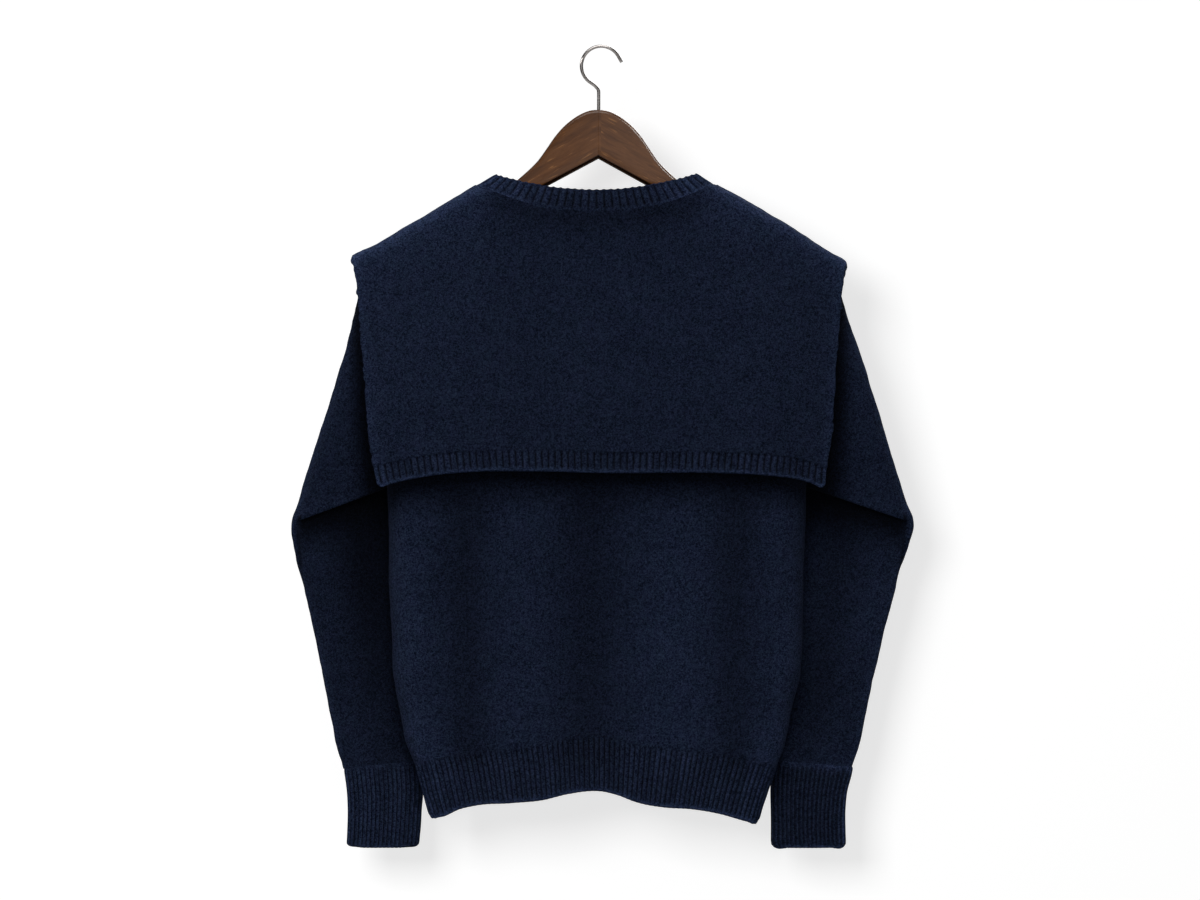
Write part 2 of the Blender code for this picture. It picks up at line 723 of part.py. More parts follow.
def make_sleeve(side, word, wool):
    point = sleeve_point(side)
    last = SLEEVE["station"][-1]
    around = 26
    angles = np.linspace(0, 2 * math.pi, around + 1)

    def inwards(angle):
        return (1 - math.cos(angle)) / 2

    def step_at(angle):
        return ELBOW_STEP[0] + (ELBOW_STEP[1] - ELBOW_STEP[0]) * inwards(angle)

    def tucked(angle):
        return ELBOW - ELBOW_TUCK[0] - (ELBOW_TUCK[1] - ELBOW_TUCK[0]) * inwards(angle)

    def lift_at(angle, station):
        rise = (station - ELBOW_LIFT_FROM) / (ELBOW_LIFT_TO - ELBOW_LIFT_FROM)
        return 2 * step_at(angle) * smoothstep(rise)

    upper = [0, 0.5, 1, 2, 3, 4, 5, 6, 7]
    rows = [[point(a, station, lift_at(a, station)) for a in angles[:-1]] for station in upper]
    rows.append([point(a, ELBOW, 2 * step_at(a)) for a in angles[:-1]])
    rows.append([point(a, ELBOW, step_at(a)) for a in angles[:-1]])
    rows.append([point(a, tucked(a), step_at(a)) for a in angles[:-1]])
    rows.append([point(a, tucked(a)) for a in angles[:-1]])
    lower = [8, 8.5, 9, 10, 11, 12, 13, 14, last]
    rows += [[point(a, station) for a in angles[:-1]] for station in lower]
    inner_angles = angles[::2]
    lining = [
        [point(a, station, -CLOTH) for a in inner_angles[:-1]]
        for station in (0, 1, 2, 3.5, 5, 6.5, 8, 9, 11, 13, last)
    ]
    make_wall(
        "sleeve_" + word, wool, np.array(rows), np.array(lining), (angles, inner_angles), None, True
    )


def make_cuff(side, word, rib):
    ring = tube_ring(CUFF, side)
    fine = np.linspace(0, 2 * math.pi, 721)
    points = np.array([ring(a, 1.5) for a in fine])
    walked = np.concatenate([[0], np.cumsum(np.linalg.norm(np.diff(points, axis=0), axis=1))])
    ribs = int(round(walked[-1] / CUFF_PITCH / 3)) * 3
    angles = np.interp(np.linspace(0, walked[-1], 2 * ribs + 1), walked, fine)
    rows = [
        [ring(a, station, CUFF_RIB * (i % 2) - CUFF_RIB) for i, a in enumerate(angles[:-1])]
        for station in (0, 1, 2, 3)
    ]
    inner_angles = angles[::6]
    lining = [
        [ring(a, station, -CUFF_RIB - RIB_CLOTH) for a in inner_angles[:-1]] for station in (0, 1.5, 3)
    ]
    make_wall(
        "cuff_rib_" + word, rib, np.array(rows), np.array(lining), (angles, inner_angles), None, True
    )


def wood_outline():
    """Outline of one half of the wood, as distances from the hanger's middle and heights."""
    slope = math.tan(WOOD_ARM_SLOPE)
    run, start = WOOD_TOP[-1]
    points = list(WOOD_TOP)
    top_tip = start - (WOOD_TIP_X - run) * math.tan(WOOD_TOP_SLOPE)
    low_tip = WOOD_UNDERSIDE - WOOD_TIP_X * slope
    middle = (top_tip + low_tip) / 2
    for turn in np.linspace(70, -70, 6):
        along, up = math.cos(math.radians(turn)), math.sin(math.radians(turn))
        points.append((
            WOOD_TIP_X - WOOD_TIP_RADIUS * (1 - along),
            middle + up * (top_tip - low_tip) / 2 + WOOD_TIP_RADIUS * (1 - along) * slope,
        ))
    points.append((0.0, WOOD_UNDERSIDE))
    return points


def make_hanger(wood, chrome):
    cutter_data = bpy.data.meshes.new("stem_socket")
    mesh = bmesh.new()
    bmesh.ops.create_cone(
        mesh, cap_ends=True, segments=16, radius1=(WIRE_RADIUS + SOCKET_CLEARANCE) * MM,
        radius2=(WIRE_RADIUS + SOCKET_CLEARANCE) * MM, depth=SOCKET_LENGTH * MM,
    )
    mesh.to_mesh(cutter_data)
    mesh.free()
    socket = bpy.data.objects.new("stem_socket", cutter_data)
    socket.location = (HANGER_X * MM, 0, (STEM_LOW - SOCKET_FLOOR + SOCKET_LENGTH / 2) * MM)
    socket.hide_render = True
    socket.display_type = "WIRE"
    bpy.data.collections["cutters"].objects.link(socket)
    peak = WOOD_TOP[0][1]
    for side, word in ((LEFT, "left"), (RIGHT, "right")):
        mesh = bmesh.new()
        outline = [
            mesh.verts.new((side * (HALF_SEAM + x) * MM, MM, (z - peak) * MM))
            for x, z in wood_outline()
        ]
        face = mesh.faces.new(outline)
        front = bmesh.ops.extrude_face_region(mesh, geom=[face])["geom"]
        for vert in front:
            if isinstance(vert, bmesh.types.BMVert):
                vert.co.y = -MM
        for vert in mesh.verts:
            thinning = smoothstep(abs(vert.co.x) / MM / WOOD_THINS_OVER)
            vert.co.y *= WOOD_HALF_THICK_CENTRE * (1 - thinning) + WOOD_HALF_THICK_ARM * thinning
        face_out(mesh)
        arm = finish_mesh("hanger_arm_" + word, wood, mesh)
        arm.location = (HANGER_X * MM, 0, peak * MM)
        arm.rotation_euler.y = HANGER_TILT
        edges = arm.modifiers.new("edges", "BEVEL")
        edges.width = WOOD_BEVEL * MM
        edges.segments = 2
        edges.limit_method = "ANGLE"
        edges.angle_limit = math.radians(50)
        cut = arm.modifiers.new("socket", "BOOLEAN")
        cut.operation = "DIFFERENCE"
        cut.object = socket
    make_hook(chrome)


def make_hook(chrome):
    centre = -(HOOK_RADIUS - WIRE_RADIUS)
    route = [
        (HOOK_RADIUS * math.cos(turn), centre + HOOK_RADIUS * math.sin(turn))
        for turn in np.radians(np.linspace(*HOOK_TURN, 24))
    ]
    route += HOOK_NECK
    data = bpy.data.curves.new("hanger_hook", "CURVE")
    data.dimensions = "3D"
    spline = data.splines.new("POLY")
    spline.points.add(len(route) - 1)
    for point, (x, z) in zip(spline.points, route):
        point.co = (x * MM, 0, z * MM, 1)
    data.bevel_depth = WIRE_RADIUS * MM
    data.bevel_resolution = 2
    data.use_fill_caps = True
    finish_object(bpy.data.objects.new("hanger_hook", data), chrome)


def make_material(name, colour, roughness, metallic=0.0):
    material = bpy.data.materials.new(name)
    material.use_nodes = True
    shader = material.node_tree.nodes["Principled BSDF"]
    shader.inputs["Base Color"].default_value = colour
    shader.inputs["Roughness"].default_value = roughness
    shader.inputs["Metallic"].default_value = metallic
    return material


def main():
    for thing in list(bpy.data.objects):
        bpy.data.objects.remove(thing)
    for name in ("scarf_neck_sweater", "cutters"):
        bpy.context.scene.collection.children.link(bpy.data.collections.new(name))
    wool = make_material("navy wool", NAVY, 0.95)
    rib = make_material("navy wool rib", NAVY_RIB, 0.95)
    make_body(wool, rib)
    make_neck(rib)
    make_scarf(wool, rib)
    for side, word in ((LEFT, "left"), (RIGHT, "right")):
        make_sleeve(side, word, wool)
        make_cuff(side, word, rib)
    make_hanger(make_material("dark wood", WALNUT, 0.35), make_material("chrome", CHROME, 0.15, 1.0))


main()
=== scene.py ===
"""Looks of the scarf-neck sweater on its hanger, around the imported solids.

Sizes in the tables are in millimetres, the solids' own ones fitted a little closer to the garment,
and become metres when a mesh is made. X runs to the right of someone who looks at the sweater's
back, Z runs up, the back faces -Y, and the origin is the inside top of the hook.

Each knitted piece is a thin closed shell on the form of the solid that it stands for: an outer
surface, an inner one a cloth's thickness behind it, and rounded rims at its free edges. Surfaces
are worked out for whole grids at once, so the functions below take and return arrays.
"""

import json
import math

import bpy
import numpy as np
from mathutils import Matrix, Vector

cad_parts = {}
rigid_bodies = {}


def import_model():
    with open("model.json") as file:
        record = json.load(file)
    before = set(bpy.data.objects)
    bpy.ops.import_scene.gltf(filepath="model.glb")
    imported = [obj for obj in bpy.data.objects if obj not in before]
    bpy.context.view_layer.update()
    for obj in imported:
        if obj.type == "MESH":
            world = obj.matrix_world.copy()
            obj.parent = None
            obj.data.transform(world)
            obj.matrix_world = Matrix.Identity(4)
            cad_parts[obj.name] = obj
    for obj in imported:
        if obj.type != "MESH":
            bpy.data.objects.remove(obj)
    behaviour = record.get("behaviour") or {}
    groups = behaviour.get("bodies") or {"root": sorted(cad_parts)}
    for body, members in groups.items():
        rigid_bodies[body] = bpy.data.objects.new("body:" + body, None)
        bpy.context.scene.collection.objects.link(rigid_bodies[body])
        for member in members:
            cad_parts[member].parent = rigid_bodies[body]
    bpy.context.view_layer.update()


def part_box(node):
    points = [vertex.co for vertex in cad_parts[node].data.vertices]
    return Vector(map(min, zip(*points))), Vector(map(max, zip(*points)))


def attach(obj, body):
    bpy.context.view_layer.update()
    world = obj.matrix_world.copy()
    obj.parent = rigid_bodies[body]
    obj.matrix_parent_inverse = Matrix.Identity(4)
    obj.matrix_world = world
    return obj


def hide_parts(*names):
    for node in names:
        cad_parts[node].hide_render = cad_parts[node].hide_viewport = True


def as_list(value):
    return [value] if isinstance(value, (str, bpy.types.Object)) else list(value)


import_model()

MM = 0.001
BACK, FRONT = -1, 1
LEFT, RIGHT = -1, 1
FACINGS, SIDES = ((BACK, "back"), (FRONT, "front")), ((LEFT, "left"), (RIGHT, "right"))

# Cloth
CLOTH, RIB_CLOTH = 2.8, 2.4
HALF_SEAM, LAYER = 0.16, 4.3
SEAM_TUCK = 1.2  # how far a rib's first row lies under the plain knit
CUFF_TUCK = 0.5  # how far the cuff's first row lies inside the sleeve's surface

# Ribs: spacing and height of each band
HEM_PITCH, HEM_RIB = 5.3, 1.8
CUFF_PITCH, CUFF_RIB = 4.4, 1.15
NECK_PITCH, NECK_RIB = 8.1, 1.8
SCARF_PITCH, SCARF_RIB = 6.8, 1.9
RIB_COLUMNS = 8
RIB_FULLNESS, VALLEY_FULLNESS = 2.0, 4.0  # of the ribs' form, and of the painted shade in their valleys
UNEVEN_RIBS = (0.75, 1.15)

# Shoulders
BODY_ROLL = 10.0
SCARF_ROLL = BODY_ROLL + LAYER
RIDGE_DROP = 4.9
SETTLE = 150.0
UNDERARM = -400.0
ARMHOLE_DEPTH, ARMHOLE_ROUND, ARMHOLE_GAP = 21.0, 60.0, 0.6
SHOULDER_LINE = -205.0
SIDE_ROUND = 36.0
PANEL_HEIGHT = 560.0
ARM_SLOPE = math.radians(28.6)

# Neck
NECK_CENTRE = -5.0
NECK_SEAM_REACH, NECK_EDGE_REACH = 122.0, 107.0
NECK_BODY_DROP = 0.8
NECK_SQUARENESS, NECK_EDGE_EASE = 2.2, 0.4
NECK_RIB_HEIGHT = 20.0

# Scarf
SCARF_STANDOFF = {BACK: 9.0, FRONT: 2.5}
SCARF_SWING_TOP, SCARF_SWING = -230.0, 230.0
SCARF_SIDE_DROOP, SCARF_DROOP_FROM, SCARF_DROOP_RUN = 6.0, 150.0, 100.0
SCARF_RIB_HEIGHT, SCARF_END_LOW = 21.0, -470.0
SELVAGE = (31, 4.5, 0.9, 6.0)  # seed, width, height and reach inwards of its side edges' knots

# Radius of each band's low corners, and how far in from the side they draw the edge
HEM_CORNER, SCARF_CORNER, CUFF_CORNER = 6.0, 4.5, 5.0
CORNER_REACH = 22.0

# Hook
HANGER_X = -2.6
WIRE_RADIUS, HOOK_RADIUS = 1.75, 20.7
HOOK_TURN = (30, 238)
HOOK_END = 7.4  # length of the straight end
HOOK_BEND = [(-7.2, -39.2), (-4.5, -42.0), (-3.0, -44.0), (-2.6, -46.6), (-2.6, -49.5)]
STEM_TOP = -52.0
WIRE_CUT, WIRE_CUT_RUN = 0.86, 0.3  # how far the cut end's edge is broken

# Wood
WOOD_TIP, WOOD_TIP_RADIUS, WOOD_UNDERSIDE = 216.0, 11.0, -113.0
WOOD_TOP_SLOPE = math.radians(27.9)
WOOD_DEPTH, WOOD_DEPTH_LOW, WOOD_THINS_OVER = 8.0, 5.4, 95.0
WOOD_ROUND, WOOD_TILT = 4.2, math.radians(0.4)
# Below the round edge, one side of its section: how deep and how high, as shares and shifted by so
# many mm, and the painted light and shade on its colour. The low rows are the chamfer and the
# underside, darkened with painted shade.
# Painted shade across the round top edge, from its top to its side
WOOD_ROUND_SHADES = (0.50, 0.86)
WOOD_SECTION = [
    (1.0, 0.5, 0.0, 0.0, 0.96), (1.0, -0.6, 0.0, 0.0, 1.04), (1.0, -1.0, 0.0, 1.2, 0.9),
    (1.0, -1.0, -0.3, 0.4, 0.45), (1.0, -1.0, -0.9, -0.5, 0.10), (1.0, -1.0, -1.9, -1.6, 0.08),
    (1.0, -1.0, -2.3, -2.1, 0.55), (1.0, -1.0, -2.8, -2.6, 0.55), (1.0, -1.0, -3.3, -3.1, 0.08),
    (1.0, -1.0, -4.0, -3.6, 0.08),
]


def table(names, rows):
    """A short table as one array for each named column, ordered by the first."""
    columns = np.array(sorted(rows), dtype=float).T
    return dict(zip(names.split(), columns))


RIDGE = table("x z", [
    (-262.5, -223), (-261.8, -220), (-259, -217.2), (-252, -213.6), (-240, -208),
    (-220, -197.2), (-185, -176.8), (-151, -156.8), (-127, -143.4), (-112, -133),
    (103, -132.4), (117, -142.6), (139, -154), (172, -172), (206, -191), (240, -214.5),
    (249, -219.8), (254, -223), (257.5, -227), (259, -233),
])
BODY = table("z left right depth", [
    (-812, 180, 165.5, 20), (-780, 189.5, 175.5, 22), (-753, 196.5, 185, 24),
    (-727, 206, 193.5, 26), (-700, 210.5, 198.5, 27), (-660, 218, 208, 28),
    (-600, 220.5, 211, 28.5), (-540, 222.5, 213, 28.5), (-475, 224.5, 215.5, 28.5),
    (-400, 225, 217, 28), (-320, 226, 220, 26.5), (-260, 229, 225, 25), (-205, 234, 230, 23),
    (-130, 234, 230, 20),
])
HEM = table("across seam edge", [
    (-1.0, -751, -808.5), (-0.91, -747.5, -805.5), (-0.81, -743.5, -798), (-0.7, -739.5, -793.5),
    (-0.5, -735, -791), (-0.33, -730, -788), (-0.18, -724, -781.5), (0.0, -721, -779),
    (0.1, -727, -783), (0.2, -731, -789.5), (0.38, -734.5, -795.5), (0.56, -738, -797.5),
    (0.75, -743, -803), (0.87, -749, -808.5), (1.0, -754, -814),
])
FOLDS = {
    BACK: table("x height width", [
        (-152, -3.5, 30), (-89, 3.5, 44), (-1, -5.5, 36), (81, 3.5, 46), (140, -3.5, 30),
    ]),
    FRONT: table("x height width", [
        (-135, 3.0, 36), (-60, -4.0, 34), (25, 3.5, 42), (100, -4.0, 32), (165, 2.0, 26),
    ]),
}
FOLD_TOP, FOLD_FULL = -420.0, -700.0
NECK = {
    BACK: {"foot_depth": 26.5, "top_depth": 22.5, "foot": -171.0, "top": -150.2, "fall": 2.4},
    FRONT: {"foot_depth": 30.0, "top_depth": 27.0, "foot": -229.0, "top": -208.0, "fall": 2.2},
}
WOOD_TOP = table("x z", [
    (0, -65), (8, -65.8), (20.5, -70.8), (29, -76.5), (37.5, -84), (46, -94), (54.5, -106.5),
    (63, -118.5), (71, -127), (80, -135.2), (92, -145.6),
])
SCARF_SIDES = table("z left right", [
    (-464, 232, 233), (-440, 237, 235), (-405, 243, 241), (-357, 247, 244.5), (-312, 251, 247.5),
    (-270, 254.5, 251), (-254, 256.3, 252.5), (-240, 257.8, 255), (-232, 259.5, 257),
    (-223, 262.5, 259), (-214, 262.5, 259), (-205, 262.5, 259), (-130, 262.5, 259),
])
SCARF_EDGE = table("across edge", [
    (-1.0, -460.5), (-0.93, -456), (-0.78, -449), (-0.6, -444.5), (-0.3, -443.5), (0.0, -445.2),
    (0.55, -445.5), (0.75, -448), (0.9, -453), (1.0, -461),
])
SCARF_END = table("z inner outer", [
    (-470, 114, 208), (-400, 116, 221), (-330, 119, 236), (-270, 122, 248), (-220, 124, 257.5),
    (-143, 127, 258),
])
TUBE_COLUMNS = "station left_out right_out z_out y_out left_in right_in z_in y_in half_depth"
SLEEVE = table(TUBE_COLUMNS, [
    (0, 234, 230, -211, 0, 225, 217, -400, 0, 21),
    (1, 247, 244, -228, 1, 226.5, 218.5, -407, 3, 19),
    (2, 254.5, 252.5, -262, 2, 227.5, 220, -415, 7, 17.5),
    (3, 264, 264, -301, 4, 227.5, 220, -423, 11, 16),
    (4, 277, 278, -345, 6, 226.5, 219, -431, 16, 15),
    (5, 290.5, 292.5, -389, 9, 225.5, 218, -438, 20, 14.5),
    (6, 304, 306.5, -433, 12, 224, 217, -445, 24, 14),
    (7, 318, 321.5, -476, 15, 222, 215, -452, 27, 13.5),
    (8, 325.5, 329, -499, 16, 220.5, 213.5, -459, 28, 13.5),
    (9, 323.5, 323, -524, 18, 218, 211, -489, 28, 13.5),
    (10, 315, 312, -560, 19, 216.5, 209, -528, 28, 13.5),
    (11, 304.5, 299.5, -602, 20, 214, 207, -580, 28, 13.5),
    (12, 293.8, 287.5, -650, 21, 211, 203, -632, 28, 13.5),
    (13, 285.5, 279, -697, 22, 205, 196, -684, 28, 13),
    (14, 278.8, 271, -734, 22, 196, 188, -727, 26, 12.5),
    (15, 271, 263, -757.5, 22, 189.5, 182.5, -750.5, 24, 11),
])
CUFF = table(TUBE_COLUMNS, [
    (0, 271, 263, -757.5, 22, 189.5, 182.5, -750.5, 24, 11),
    (1, 267.5, 256.8, -783, 22, 188.5, 181.5, -781, 23, 10.5),
    (2, 266.5, 254, -811, 21, 190.5, 182, -811, 22, 10.5),
    (3, 268, 255, -839.5, 21, 192.5, 182.5, -839.5, 22, 11),
])
TUBE_ROUNDING = 0.85
SLEEVE_AROUND, SLEEVE_UPPER_ROWS, SLEEVE_LOWER_ROWS = 104, 90, 95

# The elbow, where the upper sleeve folds over the lower one
ELBOW = 8
ELBOW_TUCK, ELBOW_STEP = 1.75, 3.4  # depth of the fold in stations, and half its height
ELBOW_OUTER = (0.12, 0.35)  # shares of them at the outer edge, but for how far it is open there
ELBOW_LIFT_FROM, ELBOW_LIFT_TO = 2.5, 5.8
ELBOW_OPEN = (0.02, 0.11)  # share of the way in where the fold starts, and how soon it is full
ELBOW_PLAIN = 0.2  # stations that the fold's rows span at the outer edge, where there is no fold
FOLD_CLOTH, FOLD_THINNEST = 0.38, 0.2  # the folded cloth, as a share of the fold's height, and mm
FOLD_LIP, FOLD_TURNS = 0.07, (35, 70, 110, 145)


# ---- Surfaces --------------------------------------------------------------------------------

def smoothstep(value):
    value = np.clip(value, 0.0, 1.0)
    return value * value * (3 - 2 * value)


def bell(distance, width):
    return np.exp(-((distance / width) ** 2))


def gain(value, strength, start, span):
    """A factor of 1 up to a value's start, and of 1 + strength from a span further on."""
    return 1 + strength * smoothstep((value - start) / span)


def curve(columns, value):
    """A smooth curve through one column of a table, as a function of the table's first column."""
    places, heights = columns[next(iter(columns))], columns[value]
    slopes = np.gradient(heights, places)

    def at(place):
        place = np.clip(place, places[0], places[-1])
        i = np.clip(np.searchsorted(places, place, side="right") - 1, 0, len(places) - 2)
        step = places[i + 1] - places[i]
        t = (place - places[i]) / step
        return (
            heights[i] * (1 + 2 * t) * (1 - t) ** 2 + slopes[i] * step * t * (1 - t) ** 2
            + heights[i + 1] * t * t * (3 - 2 * t) + slopes[i + 1] * step * t * t * (t - 1)
        )

    return at


def sided(columns):
    """A table's left and right columns as one function of a place across or x, and of z."""
    left, right = curve(columns, "left"), curve(columns, "right")
    return lambda side, z: np.where(side < 0, left(z), right(z))


ridge_z = curve(RIDGE, "z")
body_half, scarf_half = sided(BODY), sided(SCARF_SIDES)
body_depth = curve(BODY, "depth")
scarf_end_inner, scarf_end_outer = curve(SCARF_END, "inner"), curve(SCARF_END, "outer")
scarf_edge = curve(SCARF_EDGE, "edge")
hem_seam, hem_edge = curve(HEM, "seam"), curve(HEM, "edge")


def stacked(x, y, z):
    return np.stack(np.broadcast_arrays(x, y, z), axis=-1)


def neck_place(x, reach):
    return np.minimum(np.abs(x - NECK_CENTRE) / reach, 1.0)


def oval(place):
    return (1 - np.minimum(np.abs(place), 1) ** NECK_SQUARENESS) ** (1 / NECK_SQUARENESS)


def neck_foot_z(x, facing):
    neck = NECK[facing]
    rise = ridge_z(NECK_CENTRE + np.copysign(NECK_SEAM_REACH, x - NECK_CENTRE)) - neck["foot"]
    return neck["foot"] + rise * neck_place(x, NECK_SEAM_REACH) ** neck["fall"]


def neck_depth_at(x, facing):
    return NECK[facing]["foot_depth"] * oval(neck_place(x, NECK_SEAM_REACH))


def cut_rise(depth, radius):
    return np.sqrt(1 - np.minimum(depth / radius, 1.0) ** 2)


def fold_height(radius):
    return radius / math.cos(ARM_SLOPE)


def roll(below, radius):
    turned = 1 - np.clip(below / fold_height(radius), 0.0, 1.0)
    return np.sqrt(np.maximum(1 - turned * turned, 0.0))


def armhole_depth(z):
    rise = np.clip((z - UNDERARM) / ARMHOLE_ROUND, 0.0, 1.0)
    return ARMHOLE_DEPTH * np.sqrt(1 - (1 - rise) ** 2)


def folds(facing, x, z):
    grown = smoothstep((FOLD_TOP - z) / (FOLD_TOP - FOLD_FULL))
    rows = zip(*FOLDS[facing].values())
    return grown * sum(height * bell(x - at, width) for at, height, width in rows)


def draped_depth(below, neck_depth, radius, full):
    settled = smoothstep(below / SETTLE)
    cut = fold_height(radius) * (1 - cut_rise(neck_depth, radius))
    rolled = radius * roll(cut + below, radius) + (full - radius) * settled
    return np.where(neck_depth < radius, rolled, neck_depth + (full - neck_depth) * settled)


def body_at(facing, x, z, below):
    inward = np.clip((body_half(x, z) - np.abs(x)) / SIDE_ROUND, 0.0, 1.0)
    edge = armhole_depth(z)
    full = body_depth(z) + folds(facing, x, z)
    rounding = (1 - (1 - inward) ** 2) ** (0.5 + 0.5 * edge / ARMHOLE_DEPTH)
    full = edge + (full - edge) * rounding
    neck_depth = neck_depth_at(x, facing)
    on_roll = neck_depth < SCARF_ROLL
    neck_depth = np.where(on_roll, neck_depth * BODY_ROLL / SCARF_ROLL, neck_depth - LAYER)
    return draped_depth(below, neck_depth, BODY_ROLL, full)


def scarf_at(facing, x, z, below):
    lowness = smoothstep((SCARF_SWING_TOP - z) / SCARF_SWING)
    full = body_depth(z) + LAYER + SCARF_STANDOFF[facing] * lowness
    beyond = np.maximum(np.abs(x) - SCARF_DROOP_FROM, 0.0) / SCARF_DROOP_RUN
    droop = SCARF_SIDE_DROOP if facing == BACK else -SCARF_SIDE_DROOP * lowness
    full = full - droop * beyond * beyond
    return draped_depth(below, neck_depth_at(x, facing), SCARF_ROLL, full)


def body_panel(facing):
    """Surface of the front or back, by place across (-1 to 1) and share of the way down."""

    def surface(across, down):
        below = down * PANEL_HEIGHT
        x_top = across * body_half(across, SHOULDER_LINE)
        neck_top = neck_foot_z(x_top, facing) - NECK_BODY_DROP
        neck_top = neck_top - RIDGE_DROP * cut_rise(neck_depth_at(x_top, facing), SCARF_ROLL)
        in_neck = neck_place(x_top, NECK_SEAM_REACH) < 1
        top = np.where(in_neck, neck_top, ridge_z(x_top) - RIDGE_DROP)
        height = top - hem_seam(across)
        fallen = below * (1 + (height / PANEL_HEIGHT - 1) * down)
        z = top - fallen
        x = across * body_half(across, z)
        return stacked(x, facing * (HALF_SEAM + body_at(facing, x, z, fallen)), z)

    return surface


def corner_pull(reach, above, radius):
    """How far a band is drawn in near its low corner, so the corner is round.

    reach is how far inside the side edge a point lies, and above how far over the low edge.
    """
    short = radius - np.clip(above, 0.0, radius)
    pull = radius - np.sqrt(np.maximum(radius * radius - short * short, 0.0))
    return pull * np.clip(1 - reach / CORNER_REACH, 0.0, 1.0) ** 2


def hem_panel(facing):
    def surface(across, down):
        top, low = hem_seam(across) + SEAM_TUCK, hem_edge(across)
        z = top + (low - top) * down
        half = body_half(across, z)
        reach = half * (1 - np.abs(across))
        x = across * half - np.sign(across) * corner_pull(reach, z - low, HEM_CORNER)
        return stacked(x, facing * (HALF_SEAM + body_at(facing, x, z, PANEL_HEIGHT)), z)

    return surface


def neck_band(facing):
    """Surface of the neck's rib, by angle round it (-1 to 1) and share of the way down."""
    neck = NECK[facing]

    def surface(across, down):
        up = 1 - down * (1 + SEAM_TUCK / NECK_RIB_HEIGHT)
        place = np.sin(across * math.pi / 2)
        x = NECK_CENTRE + place * NECK_SEAM_REACH
        low = stacked(x, neck_depth_at(x, facing), neck_foot_z(x, facing))
        point = ridge_z(NECK_CENTRE + np.copysign(NECK_EDGE_REACH, place))
        rise = np.abs(place) ** (neck["fall"] - NECK_EDGE_EASE)
        top = stacked(
            NECK_CENTRE + place * NECK_EDGE_REACH, neck["top_depth"] * oval(place),
            neck["top"] + (point - neck["top"]) * rise,
        )
        found = low + (top - low) * stacked(up, np.copysign(up * up, up), up)
        found[..., 1] = facing * (HALF_SEAM + found[..., 1])
        return found

    return surface


def scarf_panel(facing, x_at, edge):
    """Surfaces of a stretch of the scarf and of its rib, by place across and share down."""

    def point(x, z, fallen):
        return stacked(x, facing * (HALF_SEAM + scarf_at(facing, x, z, fallen)), z)

    def placed(across, z):
        x = x_at(across, z)
        return x, np.abs(x_at(np.copysign(1.0, across), z) - x)

    def surface(across, down):
        x_top = x_at(across, SHOULDER_LINE)
        in_neck = neck_place(x_top, NECK_SEAM_REACH) < 1
        top = np.where(in_neck, neck_foot_z(x_top, facing), ridge_z(x_top))
        fallen = (top - edge(across) - SCARF_RIB_HEIGHT) * down
        z = top - fallen
        x, reach = placed(across, z)
        knots = bumps(stacked(x, 0.0, z), *SELVAGE[:2]) * np.clip(1 - reach / SELVAGE[3], 0, 1)
        return point(x + np.sign(x) * SELVAGE[2] * knots, z, fallen)

    def rib(across, down):
        top = edge(across) + SCARF_RIB_HEIGHT + SEAM_TUCK
        z = top + (edge(across) - top) * down
        x, reach = placed(across, z)
        x = x - np.sign(x) * corner_pull(reach, z - edge(across), SCARF_CORNER)
        return point(x, z, PANEL_HEIGHT)

    return surface, rib


def scarf_back_x(across, z):
    return across * scarf_half(across, z)


def scarf_end_x(side):
    def x_at(across, z):
        inner = scarf_end_inner(z) + side * NECK_CENTRE
        return side * (inner + (scarf_end_outer(z) - inner) * across)

    return x_at


def tube_ring(columns, side):
    """Function giving points of a flattened tube, by angle and station.

    Angle 0 is the outer edge, half a turn the inner one, and a quarter turn the back.
    """
    word = "left" if side == LEFT else "right"
    at = {name: curve(columns, name) for name in columns if name != "station"}

    def ring(angle, station, lift=0.0):
        outer, inner = (
            stacked(side * at[f"{word}_{end}"](station), at["y_" + end](station),
                    at["z_" + end](station))
            for end in ("out", "in")
        )
        reach = (outer - inner) / 2
        length = np.linalg.norm(reach, axis=-1)
        depth = at["half_depth"](station)
        cos, sin = np.cos(angle), np.sin(angle)
        steep = np.hypot(cos / length, sin / depth)
        flat = (length * cos + lift * cos / length / steep) / length
        thick = depth * np.copysign(np.abs(sin) ** TUBE_ROUNDING, sin) + lift * sin / depth / steep
        return (outer + inner) / 2 + flat[..., None] * reach - stacked(0, thick, 0)

    return ring


def armhole_ring(side, angle):
    cos, sin = np.cos(angle), np.sin(angle)
    tip = ridge_z(side * body_half(side, SHOULDER_LINE)) - RIDGE_DROP
    z = (tip + UNDERARM) / 2 + (tip - UNDERARM) / 2 * cos
    x = side * (body_half(side, z) + ARMHOLE_GAP)
    depth = body_at(BACK, x, z, tip - z) + HALF_SEAM
    return stacked(x, -np.copysign(depth, sin), z)


def sleeve_point(side):
    ring = tube_ring(SLEEVE, side)

    def point(angle, station, lift=0.0):
        blend = smoothstep(station / 2)[..., None]
        return ring(angle, station, lift) * blend + armhole_ring(side, angle) * (1 - blend)

    return point


# ---- Shells ----------------------------------------------------------------------------------

RIM_TURNS = np.radians([45, 90, 135])
RIM_FREE, RIM_SEWN = 0.95, 0.1  # how far out a rim reaches, in half thicknesses
SHARP_ANGLE = math.radians(65)  # keeps an edge's end from tilting the light on its last row
TINY = 1e-9
BOTH_SIDES = -50.0  # lowest y times highest y, from which a grid lies on both sides of the middle


def unit(vectors):
    return vectors / np.maximum(np.linalg.norm(vectors, axis=-1, keepdims=True), TINY)


